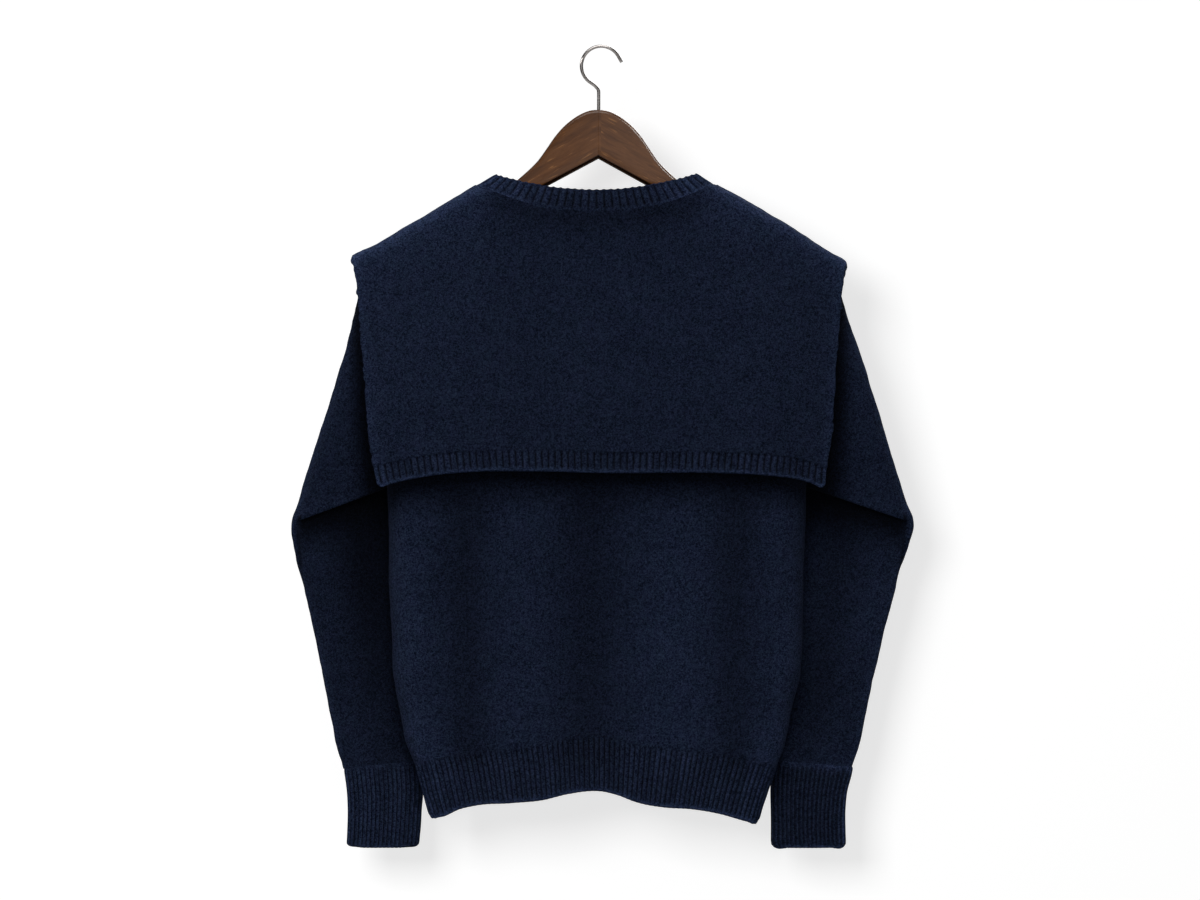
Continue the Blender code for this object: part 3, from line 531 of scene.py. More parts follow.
def outward_normals(points, ring):
    """Unit normals of a garment's grid, that point away from its middle.

    A grid on one side of the garment's middle plane is judged by that plane. The cuffs lie wholly
    in front of it though they are round, so for them the sum is near zero and says little.
    """
    if ring:
        across = np.roll(points, -1, axis=1) - np.roll(points, 1, axis=1)
    else:
        across = np.gradient(points, axis=1)
    normals = unit(np.cross(across, np.gradient(points, axis=0)))
    y = points[..., 1]
    if y.min() * y.max() < BOTH_SIDES:
        outward = np.einsum("ijk,ijk->", normals, points - points.mean(axis=1, keepdims=True))
    else:
        outward = (normals[..., 1] * np.sign(y)).sum()
    return normals * (-1 if outward < 0 else 1)


def bumps(points, seed, size):
    """Smooth random heights from -1 to 1 all through space, with bumps about as wide as size."""
    lattice = np.random.default_rng(seed).uniform(-1, 1, (LATTICE, LATTICE, LATTICE))
    place = points / size
    low = np.floor(place).astype(int)
    share = smoothstep(place - low)
    total = np.zeros(points.shape[:-1])
    for corner in np.ndindex(2, 2, 2):
        weight = np.where(np.array(corner) == 1, share, 1 - share).prod(axis=-1)
        i, j, k = np.moveaxis((low + corner) % LATTICE, -1, 0)
        total += weight * lattice[i, j, k]
    return total


def walked(points, axis):
    """Distance walked along one axis of a grid, from its start."""
    steps = np.linalg.norm(np.diff(points, axis=axis), axis=-1)
    start = np.zeros_like(np.take(steps, [0], axis=axis))
    return np.concatenate([start, np.cumsum(steps, axis=axis)], axis=axis)


def loops_of(rows, cols, ring):
    """Border of a grid as closed loops of (row, column), with the outward step at each place."""
    top = [(0, c, -1, 0) for c in range(cols)]
    low = [(rows - 1, c, 1, 0) for c in range(cols)]
    if ring:
        return [top[::-1], low]
    right = [(r, cols - 1, 0, 1) for r in range(1, rows - 1)]
    left = [(r, 0, 0, -1) for r in range(1, rows - 1)]
    return [(top + right + low[::-1] + left[::-1])[::-1]]


def grid_faces(rows, cols, closed):
    """Four-sided faces between the points of a grid, by their numbers."""
    index = np.arange(rows * cols).reshape(rows, cols)
    if closed:
        index = np.concatenate([index, index[:, :1]], axis=1)
    corners = index[:-1, :-1], index[:-1, 1:], index[1:, 1:], index[1:, :-1]
    return np.stack(corners, axis=-1).reshape(-1, 4)


def strip(first, second):
    return np.stack([first, second, np.roll(second, -1), np.roll(first, -1)], axis=-1)


def inside_out(verts, faces):
    a, b, c, d = (verts[faces[:, k]] for k in range(4))
    total = np.einsum("ij,ij->i", a, np.cross(b, c)) + np.einsum("ij,ij->i", a, np.cross(c, d))
    return total.sum() < 0


def make_shell(name, outer, thickness, ring, rounded, uv, shade):
    """A closed shell of a grid of outer points.

    rounded names the edges that are free, and so have a full round rim: any of top, low, sides.
    shade is the light and shade painted into the wool's colour at each point.
    """
    rows, cols = outer.shape[:2]
    inner = outer - outward_normals(outer, ring) * thickness
    total = rows * cols
    quads = grid_faces(rows, cols, ring)
    verts = [outer.reshape(-1, 3), inner.reshape(-1, 3)]
    uvs = [uv.reshape(-1, 2)] * 2
    shade = np.broadcast_to(shade, (rows, cols))
    shades = [shade.ravel()] * 2
    faces = [quads, quads[:, ::-1] + total]
    first_inner, total = total, 2 * total
    for loop in loops_of(rows, cols, ring):
        r, c, dr, dc = np.array(loop).T
        here = r * cols + c
        step = outer[r, c] - outer[np.clip(r - dr, 0, rows - 1), np.clip(c - dc, 0, cols - 1)]
        side_step = outer[r, c] - outer[r, np.where(c == 0, 1, cols - 2)]
        at_side = (not ring) & ((c == 0) | (c == cols - 1))
        corner = at_side & ((r == 0) | (r == rows - 1))
        out = np.where(corner[:, None], (unit(step) + unit(side_step)) / 1.4, unit(step))
        free = np.where(r == 0, "top" in rounded, (r == rows - 1) & ("low" in rounded))
        free = free | (at_side & ("sides" in rounded))
        middle, half = (outer[r, c] + inner[r, c]) / 2, (outer[r, c] - inner[r, c]) / 2
        reach = np.linalg.norm(half, axis=1) * np.where(free, RIM_FREE, RIM_SEWN)
        previous = here
        for turn in RIM_TURNS:
            verts.append(middle + half * math.cos(turn) + out * reach[:, None] * math.sin(turn))
            uvs.append(uv[r, c])
            shades.append(shade[r, c])
            current = total + np.arange(len(r))
            total += len(r)
            faces.append(strip(previous, current))
            previous = current
        faces.append(strip(previous, here + first_inner))
    verts, faces, uvs = np.concatenate(verts) * MM, np.concatenate(faces), np.concatenate(uvs)
    if inside_out(verts, faces):
        faces = faces[:, ::-1]
    mesh = bpy.data.meshes.new(name)
    mesh.from_pydata(verts.tolist(), [], faces.tolist())
    corners = np.zeros(len(mesh.loops), np.int32)
    mesh.loops.foreach_get("vertex_index", corners)
    layer = mesh.uv_layers.new(name="knit")
    layer.data.foreach_set("uv", uvs[corners].astype(np.float32).ravel())
    store(mesh, "shade", np.concatenate(shades))
    mesh.shade_smooth()
    mesh.set_sharp_from_angle(angle=SHARP_ANGLE)
    return mesh


def store(mesh, name, values):
    layer = mesh.attributes.new(name, "FLOAT", "POINT")
    layer.data.foreach_set("value", values.astype(np.float32))


def add_piece(name, mesh, finish, node):
    """Makes an object of a piece's mesh with the finish's material, hides the node that it stands
    for and puts it on the root body. The finish's slot is not used.
    """
    material, slot = finish
    mesh.materials.append(material)
    piece = bpy.data.objects.new(name, mesh)
    bpy.context.scene.collection.objects.link(piece)
    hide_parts(node)
    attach(piece, "root")
    return piece


def area_of(points, ring):
    """Area of a grid of points, in square metres."""
    if ring:
        points = np.concatenate([points, points[:, :1]], axis=1)
    a, b, c, d = points[:-1, :-1], points[:-1, 1:], points[1:, 1:], points[1:, :-1]
    return float(np.linalg.norm(np.cross(c - a, d - b), axis=-1).sum() / 2 * MM * MM)


def add_cloth(name, smooth, points, shade, finish, rests_on, rounded=(), ring=False, cloth=None):
    """Makes a knitted piece, and works out the cut of its cloth, a rectangle and the area used of
    it, but keeps neither.

    smooth is the grid without its relief, and the size of the cut is taken there.
    """
    ribbed = finish[1] == "wool_rib"
    along = smooth if ribbed else points
    u, v = walked(along, 1) * MM, walked(along, 0) * MM
    u -= u[:, u.shape[1] // 2][:, None]
    if cloth is None:
        cloth = RIB_CLOTH if ribbed else CLOTH
    mesh = make_shell(name, points, cloth, ring, rounded, np.stack([u, v], axis=-1), shade)
    piece = add_piece(name + "_knit", mesh, finish, name)
    length = walked(smooth, 0)[-1].max() * MM
    area = area_of(smooth, ring)
    flat = (max(walked(smooth, 1)[:, -1].max() * MM, area / length), length)
    min(area, flat[0] * flat[1])
    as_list(rests_on)


# ---- Relief ----------------------------------------------------------------------------------

# Soft ridges and troughs on each piece: two ends, height and width
CREASES = {
    "back": [
        (-205, -540, -165, -735, 2.0, 16), (-170, -470, -150, -640, -1.8, 20),
        (-120, -560, -112, -735, 1.6, 13), (-60, -480, -66, -700, 1.4, 18),
        (-30, -600, -18, -735, -1.6, 12), (22, -500, 30, -700, 1.3, 15),
        (60, -620, 56, -735, 1.2, 12), (112, -480, 118, -690, 1.4, 17),
        (172, -520, 150, -730, 1.8, 15), (196, -560, 166, -745, -1.4, 10),
    ],
    "front": [
        (-190, -430, -150, -720, 2.0, 18), (-90, -380, -96, -700, -1.8, 20),
        (0, -420, 10, -730, 1.8, 20), (80, -450, 72, -720, 1.6, 16),
        (180, -430, 150, -720, 2.0, 16), (-60, -262, 50, -262, -1.4, 12),
    ],
    "scarf_back": [
        (-100, -178, 90, -178, -1.6, 14), (-108, -150, -170, -420, 1.5, 30),
        (98, -150, 160, -430, 1.4, 30), (-60, -230, -80, -440, -1.0, 24),
        (30, -240, 38, -440, 1.0, 28), (200, -230, 215, -440, 1.3, 22),
        (-215, -240, -222, -430, 1.2, 18),
    ],
    "neck_rib_back": [(-100, -178, 90, -178, -1.6, 14)],
    "scarf_end_left": [(-150, -220, -145, -450, 1.3, 14), (-195, -240, -190, -450, -1.2, 12)],
    "scarf_end_right": [(150, -220, 145, -450, -1.3, 14), (195, -240, 190, -450, 1.2, 12)],
    "sleeve_left": [
        (-262, -300, -300, -470, 1.6, 16), (-240, -330, -262, -455, -1.5, 14),
        (-300, -540, -278, -700, 1.5, 13), (-240, -520, -250, -720, -1.3, 13),
        (-312, -503, -265, -480, 1.0, 8), (-320, -498, -313, -570, -1.2, 2.6),
    ],
    "sleeve_right": [
        (262, -300, 304, -470, 1.6, 16), (236, -330, 258, -455, -1.5, 14),
        (298, -540, 274, -700, 1.5, 13), (236, -520, 244, -720, -1.3, 13),
        (313, -503, 262, -480, 1.0, 8), (321, -498, 312, -566, -1.2, 2.6),
    ],
}
CREASE_ENDS = 0.25  # share of a crease's height that is left at its two ends
# Gentle unevenness all over, the same on both sides of every seam: seed, width of the bumps and
# height. The last fades out on ribs.
LATTICE = 32
UNEVEN = [(11, 46.0, 1.3), (12, 17.0, 0.5), (13, 7.0, 0.32)]
SEAM_FADE = 10.0
FIRST_SEED, SEEDS = 11, {}


def line_distance(x, z, x0, z0, x1, z1):
    """Distance from a line in the x-z plane, and how far along it the nearest place is."""
    start, run = np.array([x0, z0]), np.array([x1 - x0, z1 - z0])
    flat = np.stack([x, z], axis=-1) - start
    along = np.clip(flat @ run / (run @ run), 0, 1)
    return np.linalg.norm(flat - along[..., None] * run, axis=-1), along


def relief(points, name, ring=False, height=None, normals=None):
    """A grid of points with its creases and unevenness, and with ribs where height is given."""
    if normals is None:
        normals = outward_normals(points, ring)
    layers = [tall * bumps(points, seed, size) for seed, size, tall in UNEVEN]
    if height is not None:
        layers[-1] = layers[-1] * (1 - smoothstep(walked(points, 0) / SEAM_FADE))
        layers.append(height)
    moved = sum(layers)
    for *line, tall, width in CREASES.get(name, []):
        distance, along = line_distance(points[..., 0], points[..., 2], *line)
        ends = np.sqrt(np.clip(np.sin(along * math.pi), 0, 1)) * (1 - CREASE_ENDS) + CREASE_ENDS
        moved = moved + tall * ends * bell(distance, width)
    return points + normals * moved[..., None]


def rib_profile(distance, pitch, fullness):
    """Ribs with valleys between them, from 0 to 1. The fuller they are, the narrower those."""
    wave = 0.5 + 0.5 * np.cos(distance * 2 * math.pi / pitch)
    return 1 - (1 - wave) ** fullness


def rib_relief(points, name, pitch, height, fades, closed=False):
    """Heights of a band's ribs, and the shade painted on them: darker valleys and a lighter rolled
    edge. They fade into the knit above and the rolled edge.
    """
    distance = walked(points, 1).mean(axis=0)
    length = distance[-1]
    if closed:
        length += np.linalg.norm(points[0, 0] - points[0, -1])
    ribs = max(round(length / pitch), 1)
    pitch = length / ribs
    down = walked(points, 0).mean(axis=1)[:, None]
    seed = SEEDS.setdefault(name, FIRST_SEED + len(SEEDS))
    uneven = np.random.default_rng(seed).uniform(*UNEVEN_RIBS, ribs + 1)
    if closed:
        uneven[-1] = uneven[0]
    strength = np.interp(distance / pitch, np.arange(ribs + 1), uneven)
    begun = smoothstep(down / fades[0])
    shown = begun * smoothstep((down[-1] - down) / fades[1])
    form, lit = (
        (rib_profile(distance, pitch, fullness) * strength - 1.0)[None, :] * shown
        for fullness in (RIB_FULLNESS, VALLEY_FULLNESS)
    )
    shade = 1 + lit * VALLEY_SHADE + EDGE_LIGHT[0] * bell(down[-1] - down, EDGE_LIGHT[1])
    return form * height, shade * (1 + (RIB_GAIN - 1) * begun) / RIB_GAIN


# ---- Light and shade painted into the wool's colour ------------------------------------------

EDGE_LIGHT = (0.25, 3.0)  # painted light: how much lighter the rolled edge is, and how wide
VALLEY_SHADE = 0.85  # painted shade: how much darker the wool is in the ribs' valleys
RIB_GAIN = 1.3  # how much lighter the ribs' wool is than the plain knit's
# Painted shade in the valleys between the body's folds, and painted light where the strength is
# below 0: x, width and strength
VALLEYS = {
    "back": [
        (-208, 24, -0.32), (-141, 24, 0.36), (-85, 34, -0.08), (-13, 34, 0.36), (76, 34, -0.20),
        (140, 24, 0.36), (190, 30, -0.16),
    ],
    "front": [(-60, 34, 0.25), (100, 32, 0.25)],
}
VALLEY_ENDS = (-440.0, 45.0, -775.0, 40.0)  # top, how far it fades in, low end, the same
UNDER_SCARF = (0.62, 52.0)  # painted shadow under the scarf's edge: strength, and how far below the edge it reaches
UNDER_NECK = (0.34, 9.0, 16.0)  # painted shade in the hollow under the neck rib: strength, middle and width below the neck's seam
BESIDE_SCARF = (0.80, 23.0, 0.11, -370.0)  # painted shadow of the scarf on the sleeves: strength, width, its growth and where it starts
BESIDE_SCARF_START, BESIDE_SCARF_LEAST = 2.0, 12.0
ELBOW_SHADE = (0.87, 8.15, 1.6)  # painted shade under the elbow's fold: strength, first station and how many it spans
ELBOW_SHADE_IN = 0.10  # how soon, on the way in, it is full
# Painted shade in the crease beside each sleeve's outer edge, as on the right one: two ends,
# strength and width
ELBOW_CREASE_SHADE = (320.5, -492, 314, -572, 0.7, 2.4)
# Painted shade towards the body on the cuffs, and over how many mm it takes over from the sleeve's
CUFF_SHADE, CUFF_SHADE_RUN = 0.12, 25.0
SHOULDER_LIGHT_FROM, SHOULDER_LIGHT_RUN = 88.0, 45.0
SHOULDER_LIGHT = [(0.85, 9.0), (0.45, 42.0)]  # painted light: strength and width, below the shoulder's ridge
RIM_LIGHT = (0.38, 8.0)  # painted highlight: strength and width along the scarf's side edges
# Painted light and shade, each as a gain: strength, start and span. Painted light towards the
# scarf's sides, from the middle of its most shaded part, painted shade on its right, painted light
# from the floor on low places, and painted light towards the neck rib's ends.
SIDE_LIGHT, SCARF_SHADE_MIDDLE = (0.12, 110.0, 120.0), 30.0
RIGHT_DIM = (-0.13, 150.0, 50.0)
LOW_LIGHT = (0.32, 400.0, 450.0)
NECK_LIGHT = (0.75, 45.0, 60.0)
SLEEVE_RIM = (0.55, 0.055)  # painted highlight: strength and width along a sleeve's outer edge
# Painted light and shade by side, on the lower sleeves and on the cuffs
SLEEVE_GAIN, CUFF_GAIN = {LEFT: -0.12, RIGHT: 0.10}, {LEFT: 0.06, RIGHT: 0.46}
SLEEVE_GAIN_RUN = 3.0
# Painted light on the body's low sides: strength, height and how far up it fades, first x and
# width
LOW_SIDES = (0.38, -680.0, 70.0, 135.0, 45.0)
# Painted shade in the hollow above the cuffs: first station and how many it spans, and strength
ABOVE_CUFF = (10.8, 2.0, {LEFT: 0.05, RIGHT: 0.26})
ABOVE_CUFF_END = (-0.7, 13.2, 1.7)  # how much of it goes again, from which station, over how many
ABOVE_CUFF_IN = (0.04, 0.12)  # where it starts on the way in, and how soon it is full
# How much painted shade darkens a sleeve towards the body by station, and how much light its inner
# edge has back
TOWARDS_BODY = (8, 9.5, 11, 12.5, 13.5, 15)
TOWARDS_BODY_BY = {
    LEFT: (0.60, 0.76, 0.66, 0.44, 0.32, 0.30), RIGHT: (0.46, 0.48, 0.48, 0.42, 0.32, 0.30),
}
INNER_EASE = {LEFT: 0.0, RIGHT: 0.42}


def low_light(z):
    """Painted light that stands for light from the floor, stronger lower down."""
    return gain(-z, *LOW_LIGHT)


def body_shade(word, x, z):
    """Painted shade on the body between its folds and close under the scarf, and painted light low
    at its sides and from the floor.
    """
    shade = np.ones(x.shape)
    top, fade_in, low, fade_out = VALLEY_ENDS
    shown = smoothstep((top - z) / fade_in) * smoothstep((z - low) / fade_out)
    for at, width, strength in VALLEYS[word]:
        shade = shade - shown * strength * bell(x - at, width)
    if word == "back":
        below = scarf_edge(x / scarf_half(x, z)) - z
    else:
        under_end = np.abs(x) > SCARF_END["inner"][0]
        below = np.where(under_end, SCARF_END_LOW - z, UNDER_SCARF[1])
    shade = shade * (1 - UNDER_SCARF[0] * (1 - smoothstep(below / UNDER_SCARF[1])))
    strength, height, fade, first, width = LOW_SIDES
    side = smoothstep((height - z) / fade) * smoothstep((np.abs(x) - first) / width)
    return shade * low_light(z) * (1 + strength * side)


def scarf_shade(x, z):
    """Painted light on the scarf along the shoulders and its side edges, and painted shade on its
    right.
    """
    below = np.maximum(ridge_z(x) - z, 0)
    side = smoothstep((np.abs(x) - SHOULDER_LIGHT_FROM) / SHOULDER_LIGHT_RUN)
    shade = 1 + sum(strength * side * bell(below, width) for strength, width in SHOULDER_LIGHT)
    shade = shade * (1 + RIM_LIGHT[0] * bell(scarf_half(x, z) - np.abs(x), RIM_LIGHT[1]))
    return shade * gain(np.abs(x - SCARF_SHADE_MIDDLE), *SIDE_LIGHT) * gain(x, *RIGHT_DIM)


def shade_of(name, points):
    """The light and shade painted into a flat piece's wool, a factor about 1."""
    x, z = points[..., 0], points[..., 2]
    shade = 1.0
    if name in ("back", "front", "hem_rib_back", "hem_rib_front"):
        shade = body_shade(name.replace("hem_rib_", ""), x, z)
    elif name.startswith("scarf"):
        shade = scarf_shade(x, z)
    if name in ("scarf_back", "neck_rib_back"):
        strength, middle, width = UNDER_NECK
        hollow = bell(neck_foot_z(x, BACK) - z - middle, width)
        shade = shade * (1 - strength * hollow * oval(neck_place(x, NECK_SEAM_REACH)))
    if name.startswith("neck_rib"):
        shade = shade * gain(np.abs(x - NECK_CENTRE), *NECK_LIGHT)
    return shade


def towards_body(inwards, side):
    """Share of the painted shade towards the body, by how far inwards a place is."""
    return smoothstep((inwards - 0.1) / 0.6) * gain(inwards, -INNER_EASE[side], 0.6, 0.3)


# Painted highlight along a sleeve's outer edge
def sleeve_rim(inwards):
    return 1 + SLEEVE_RIM[0] * bell(inwards, SLEEVE_RIM[1])


def sleeve_shade(points, stations, inwards, side):
    """Painted shade on a sleeve beside the scarf, under the elbow's fold, in its crease, towards
    the body and above the cuff, and painted light along its outer edge, by side and low down.
    """
    x, z = points[..., 0], points[..., 2]
    strength, width, growth, start = BESIDE_SCARF
    apart = np.abs(x) - scarf_half(x, z) - BESIDE_SCARF_START
    width = np.maximum(width + growth * (start - z), BESIDE_SCARF_LEAST)
    upper = 1 - strength * (1 - smoothstep(apart / width))
    strength, first, span = ELBOW_SHADE
    strength = strength * (1 - smoothstep((stations - first) / span))
    fold = gain(inwards, -strength, ELBOW_OPEN[0], ELBOW_SHADE_IN)
    strength = np.interp(stations, TOWARDS_BODY, TOWARDS_BODY_BY[side])
    lower = fold * (1 - strength * towards_body(inwards, side))
    shade = np.where(stations < ELBOW, upper, lower)
    *line, strength, width = ELBOW_CREASE_SHADE
    distance, along = line_distance(np.abs(x), z, *line)
    shade = shade * (1 - strength * np.sin(along * math.pi) * bell(distance, width))
    shade = shade * low_light(z) * gain(stations, SLEEVE_GAIN[side], ELBOW, SLEEVE_GAIN_RUN)
    first, span, strength = ABOVE_CUFF
    hollow = smoothstep((stations - first) / span) * gain(stations, *ABOVE_CUFF_END)
    shade = shade * gain(inwards, -strength[side] * hollow, *ABOVE_CUFF_IN)
    return shade * sleeve_rim(inwards)


# ---- Pieces ----------------------------------------------------------------------------------

def plain(name, surface, across, down, wool, rests_on, rounded):
    smooth = surface(np.array(across)[None, :], down[:, None])
    add_cloth(name, smooth, relief(smooth, name), shade_of(name, smooth), wool, rests_on, rounded)


def even_columns(surface, pitch, start):
    """Places evenly spaced along the middle of a band, RIB_COLUMNS of them to each rib."""
    fine = np.linspace(start, 1, 2001)
    distance = walked(surface(fine[None, :], np.array([[0.5]])), 1)[0]
    count = max(round(distance[-1] / pitch), 4) * RIB_COLUMNS
    return np.interp(np.linspace(0, distance[-1], count + 1), distance, fine)


def rows_down(count):
    """Shares of the way down a band, closer together over its last quarter."""
    edge = 0.75 + 0.25 * np.sin(np.linspace(0, math.pi / 2, 9)[1:])
    return np.concatenate([np.linspace(0, 0.75, count), edge])


def ribbed(name, surface, pitch, height, rows, rib, rests_on, rounded, fades, start=-1.0):
    columns = even_columns(surface, pitch, start)
    smooth = surface(columns[None, :], rows_down(rows)[:, None])
    lift, shade = rib_relief(smooth, name, pitch, height, fades)
    points = relief(smooth, name, height=lift)
    add_cloth(name, smooth, points, shade * shade_of(name, smooth), rib, rests_on, rounded)


def side_clustered(count, power=1.35):
    """Places from -1 to 1, closer together towards both ends."""
    even = np.linspace(-1, 1, count)
    return np.sign(even) * (1 - (1 - np.abs(even)) ** power)


def rows_from_ridge(turned, count):
    """Shares of the way down a panel, closer together over the shoulder's ridge."""
    return np.concatenate([np.linspace(0, turned, count)[:-1], np.linspace(turned, 1, 130)])


def make_body(wool, rib):
    down = rows_from_ridge(0.03, 14)
    for facing, word in FACINGS:
        hung = ["hanger_arm_left", "hanger_arm_right"]
        plain(word, body_panel(facing), side_clustered(161), down, wool, hung, ())
        ribbed(
            "hem_rib_" + word, hem_panel(facing), HEM_PITCH, HEM_RIB, 15, rib, [word], ("low",),
            (7.0, 4.5),
        )


def make_neck(rib):
    for facing, word in FACINGS:
        ribbed(
            "neck_rib_" + word, neck_band(facing), NECK_PITCH, NECK_RIB, 12, rib,
            ["scarf_back"], ("top",), (2.5, 6.0),
        )


def make_scarf(wool, rib):
    down = rows_from_ridge(0.07, 16)

    def stretch(name, word, facing, x_at, edge, across, rests_on):
        surface, band = scarf_panel(facing, x_at, edge)
        plain(name, surface, across, down, wool, [rests_on], ("sides",))
        ribbed(
            "scarf_rib_" + word, band, SCARF_PITCH, SCARF_RIB, 11, rib, [name], ("low", "sides"),
            (4.0, 4.5), across[0],
        )

    stretch("scarf_back", "back", BACK, scarf_back_x, scarf_edge, side_clustered(181), "back")
    for side, word in SIDES:
        stretch("scarf_end_" + word, word, FRONT, scarf_end_x(side),
                lambda across: SCARF_END_LOW + 0 * across, np.linspace(0, 1, 50), "front")


def make_sleeve(side, word, wool):
    point = sleeve_point(side)
    angles = np.linspace(0, 2 * math.pi, SLEEVE_AROUND + 1)[:-1][None, :]
    inwards = (1 - np.cos(angles)) / 2
    opened = smoothstep((inwards - ELBOW_OPEN[0]) / ELBOW_OPEN[1])
    tuck, step = (
        full * opened * (outer + (1 - outer) * inwards)
        for full, outer in zip((ELBOW_TUCK, ELBOW_STEP), ELBOW_OUTER)
    )
    folded = np.clip(FOLD_CLOTH * 2 * step, FOLD_THINNEST, CLOTH)
    rows, stations, cloth = [], [], []

    def add(station, lift, shaded_as, thickness=CLOTH):
        rows.append(point(angles, station, lift))
        stations.append(shaded_as + 0 * angles)
        cloth.append(thickness + 0 * angles)

    # Down the upper sleeve to its lip
    plain_from = ELBOW - ELBOW_PLAIN / 2
    for station in np.linspace(0, ELBOW, SLEEVE_UPPER_ROWS):
        rise = smoothstep((station - ELBOW_LIFT_FROM) / (ELBOW_LIFT_TO - ELBOW_LIFT_FROM))
        end = ELBOW + (plain_from - ELBOW) * (1 - opened)
        add(station * end / ELBOW, 2 * step * rise, min(station, ELBOW - 0.01))
    # Round the lip, back under it, and down again on the lower sleeve
    fold = [
        (ELBOW + FOLD_LIP * math.sin(turn) * (0.4 + 0.6 * inwards), 1.5 + 0.5 * math.cos(turn),
         ELBOW - 0.01)
        for turn in np.radians(FOLD_TURNS)
    ]
    fold += [(ELBOW - tuck * share, 1.0, ELBOW) for share in (0.0, 0.35, 0.7, 1.0)]
    fold += [(ELBOW - tuck - 0.03, 0.5, ELBOW)]
    fold += [(ELBOW - tuck * share, 0.0, ELBOW) for share in np.linspace(1, 0, 5)]
    for count, (station, height, shaded_as) in enumerate(fold, 1):
        plain_station = plain_from + ELBOW_PLAIN * count / (len(fold) + 1)
        place = plain_station + (station - plain_station) * opened
        add(place, step * height, shaded_as, folded * opened + CLOTH * (1 - opened))
    start = ELBOW + ELBOW_PLAIN / 2 * (1 - opened)
    for share in np.linspace(0, 1, SLEEVE_LOWER_ROWS)[1:]:
        station = start + (SLEEVE["station"][-1] - start) * share
        add(station, 0.0 * angles, station)
    smooth, stations = np.concatenate(rows), np.concatenate(stations)
    # The fold's layers move together
    normals = outward_normals(smooth, True)
    first, last = SLEEVE_UPPER_ROWS - 3, SLEEVE_UPPER_ROWS + len(fold) + 2
    share = np.linspace(0, 1, last - first + 1)[:, None, None]
    normals[first:last + 1] = normals[first] + (normals[last] - normals[first]) * share
    name = "sleeve_" + word
    points = relief(smooth, name, True, normals=normals)
    shade = sleeve_shade(smooth, stations, inwards, side)
    thickness = np.concatenate(cloth)[..., None]
    add_cloth(name, smooth, points, shade, wool, ["back", "front"], ring=True, cloth=thickness)


def make_cuff(side, word, rib):
    ring = tube_ring(CUFF, side)
    fine = np.linspace(0, 2 * math.pi, 1441)
    distance = walked(ring(fine[None, :], np.array([[1.5]])), 1)[0]
    count = round(distance[-1] / CUFF_PITCH) * RIB_COLUMNS
    angles = np.interp(np.linspace(0, distance[-1], count + 1), distance, fine)[None, :-1]
    smooth = ring(angles, CUFF["station"][-1] * rows_down(16)[:, None])
    tucked = ring(angles, np.array([[0.0]]), -CUFF_TUCK) + np.array([0, 0, SEAM_TUCK])
    smooth = np.concatenate([tucked, smooth])
    above = smooth[..., 2] - smooth[-1:, :, 2]
    sideways = np.cos(angles)
    half = np.ptp(smooth[..., 0], axis=1)[:, None] / 2
    pull = corner_pull(half * (1 - np.abs(sideways)), above, CUFF_CORNER)
    smooth[..., 0] -= side * np.sign(sideways) * pull
    name = "cuff_rib_" + word
    lift, shade = rib_relief(smooth, name, CUFF_PITCH, CUFF_RIB, (7.0, 4.5), closed=True)
    inwards = (1 - sideways) / 2
    # Painted shade towards the body, less of it lower down, painted light from the floor and by
    # side, and a painted highlight along the outer edge
    down = smoothstep(walked(smooth, 0) / CUFF_SHADE_RUN)
    strength = TOWARDS_BODY_BY[side][-1] * (1 - down) + CUFF_SHADE * down
    shade = shade * (1 - strength * towards_body(inwards, side)) * low_light(smooth[..., 2])
    shade = shade * (1 + CUFF_GAIN[side]) * sleeve_rim(inwards)
    points = relief(smooth, name, True, lift)
    add_cloth(name, smooth, points, shade, rib, ["sleeve_" + word], ("low",), True)


def make_hook(chrome):
    """The hook's wire: a straight cut end, its round, the bend and the stem, swept by a circle."""
    centre = -(HOOK_RADIUS - WIRE_RADIUS)
    turns = np.radians(np.linspace(*HOOK_TURN, 90))
    route = [(HOOK_RADIUS * math.cos(t), centre + HOOK_RADIUS * math.sin(t)) for t in turns]
    away = np.array([math.sin(turns[0]), -math.cos(turns[0])])
    route = [tuple(route[0] + away * s) for s in np.linspace(HOOK_END, 0, 8)[:-1]] + route
    bend = [route[-1], *HOOK_BEND]
    bend = table("t x z", [(t, *place) for t, place in enumerate(bend)])
    fine = np.linspace(0, len(HOOK_BEND), 30)[1:]
    route += zip(curve(bend, "x")(fine), curve(bend, "z")(fine))
    stem_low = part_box("hanger_hook")[0].z / MM
    route += [(HANGER_X, z) for z in np.linspace(STEM_TOP, stem_low, 8)]
    route = np.array(route)
    along = unit(np.gradient(route, axis=0))
    middle = stacked(route[:, 0], 0.0, route[:, 1])
    sideways = stacked(along[:, 1], 0.0, -along[:, 0])
    turns = np.linspace(0, 2 * math.pi, 25)[:-1]
    circle = (sideways[:, None] * np.cos(turns)[None, :, None]
              + np.array([0, 1, 0]) * np.sin(turns)[None, :, None]) * WIRE_RADIUS
    # The cut end's edge is broken
    circle[0] *= WIRE_CUT
    rows = middle[:, None] + circle
    second = rows[0] - unit(middle[0] - middle[1]) * WIRE_CUT_RUN + circle[0] * (1 / WIRE_CUT - 1)
    rows = np.concatenate([rows[:1], second[None], rows[1:]])
    add_loft("hook_wire", rows, (chrome, "chrome"), "hanger_hook")


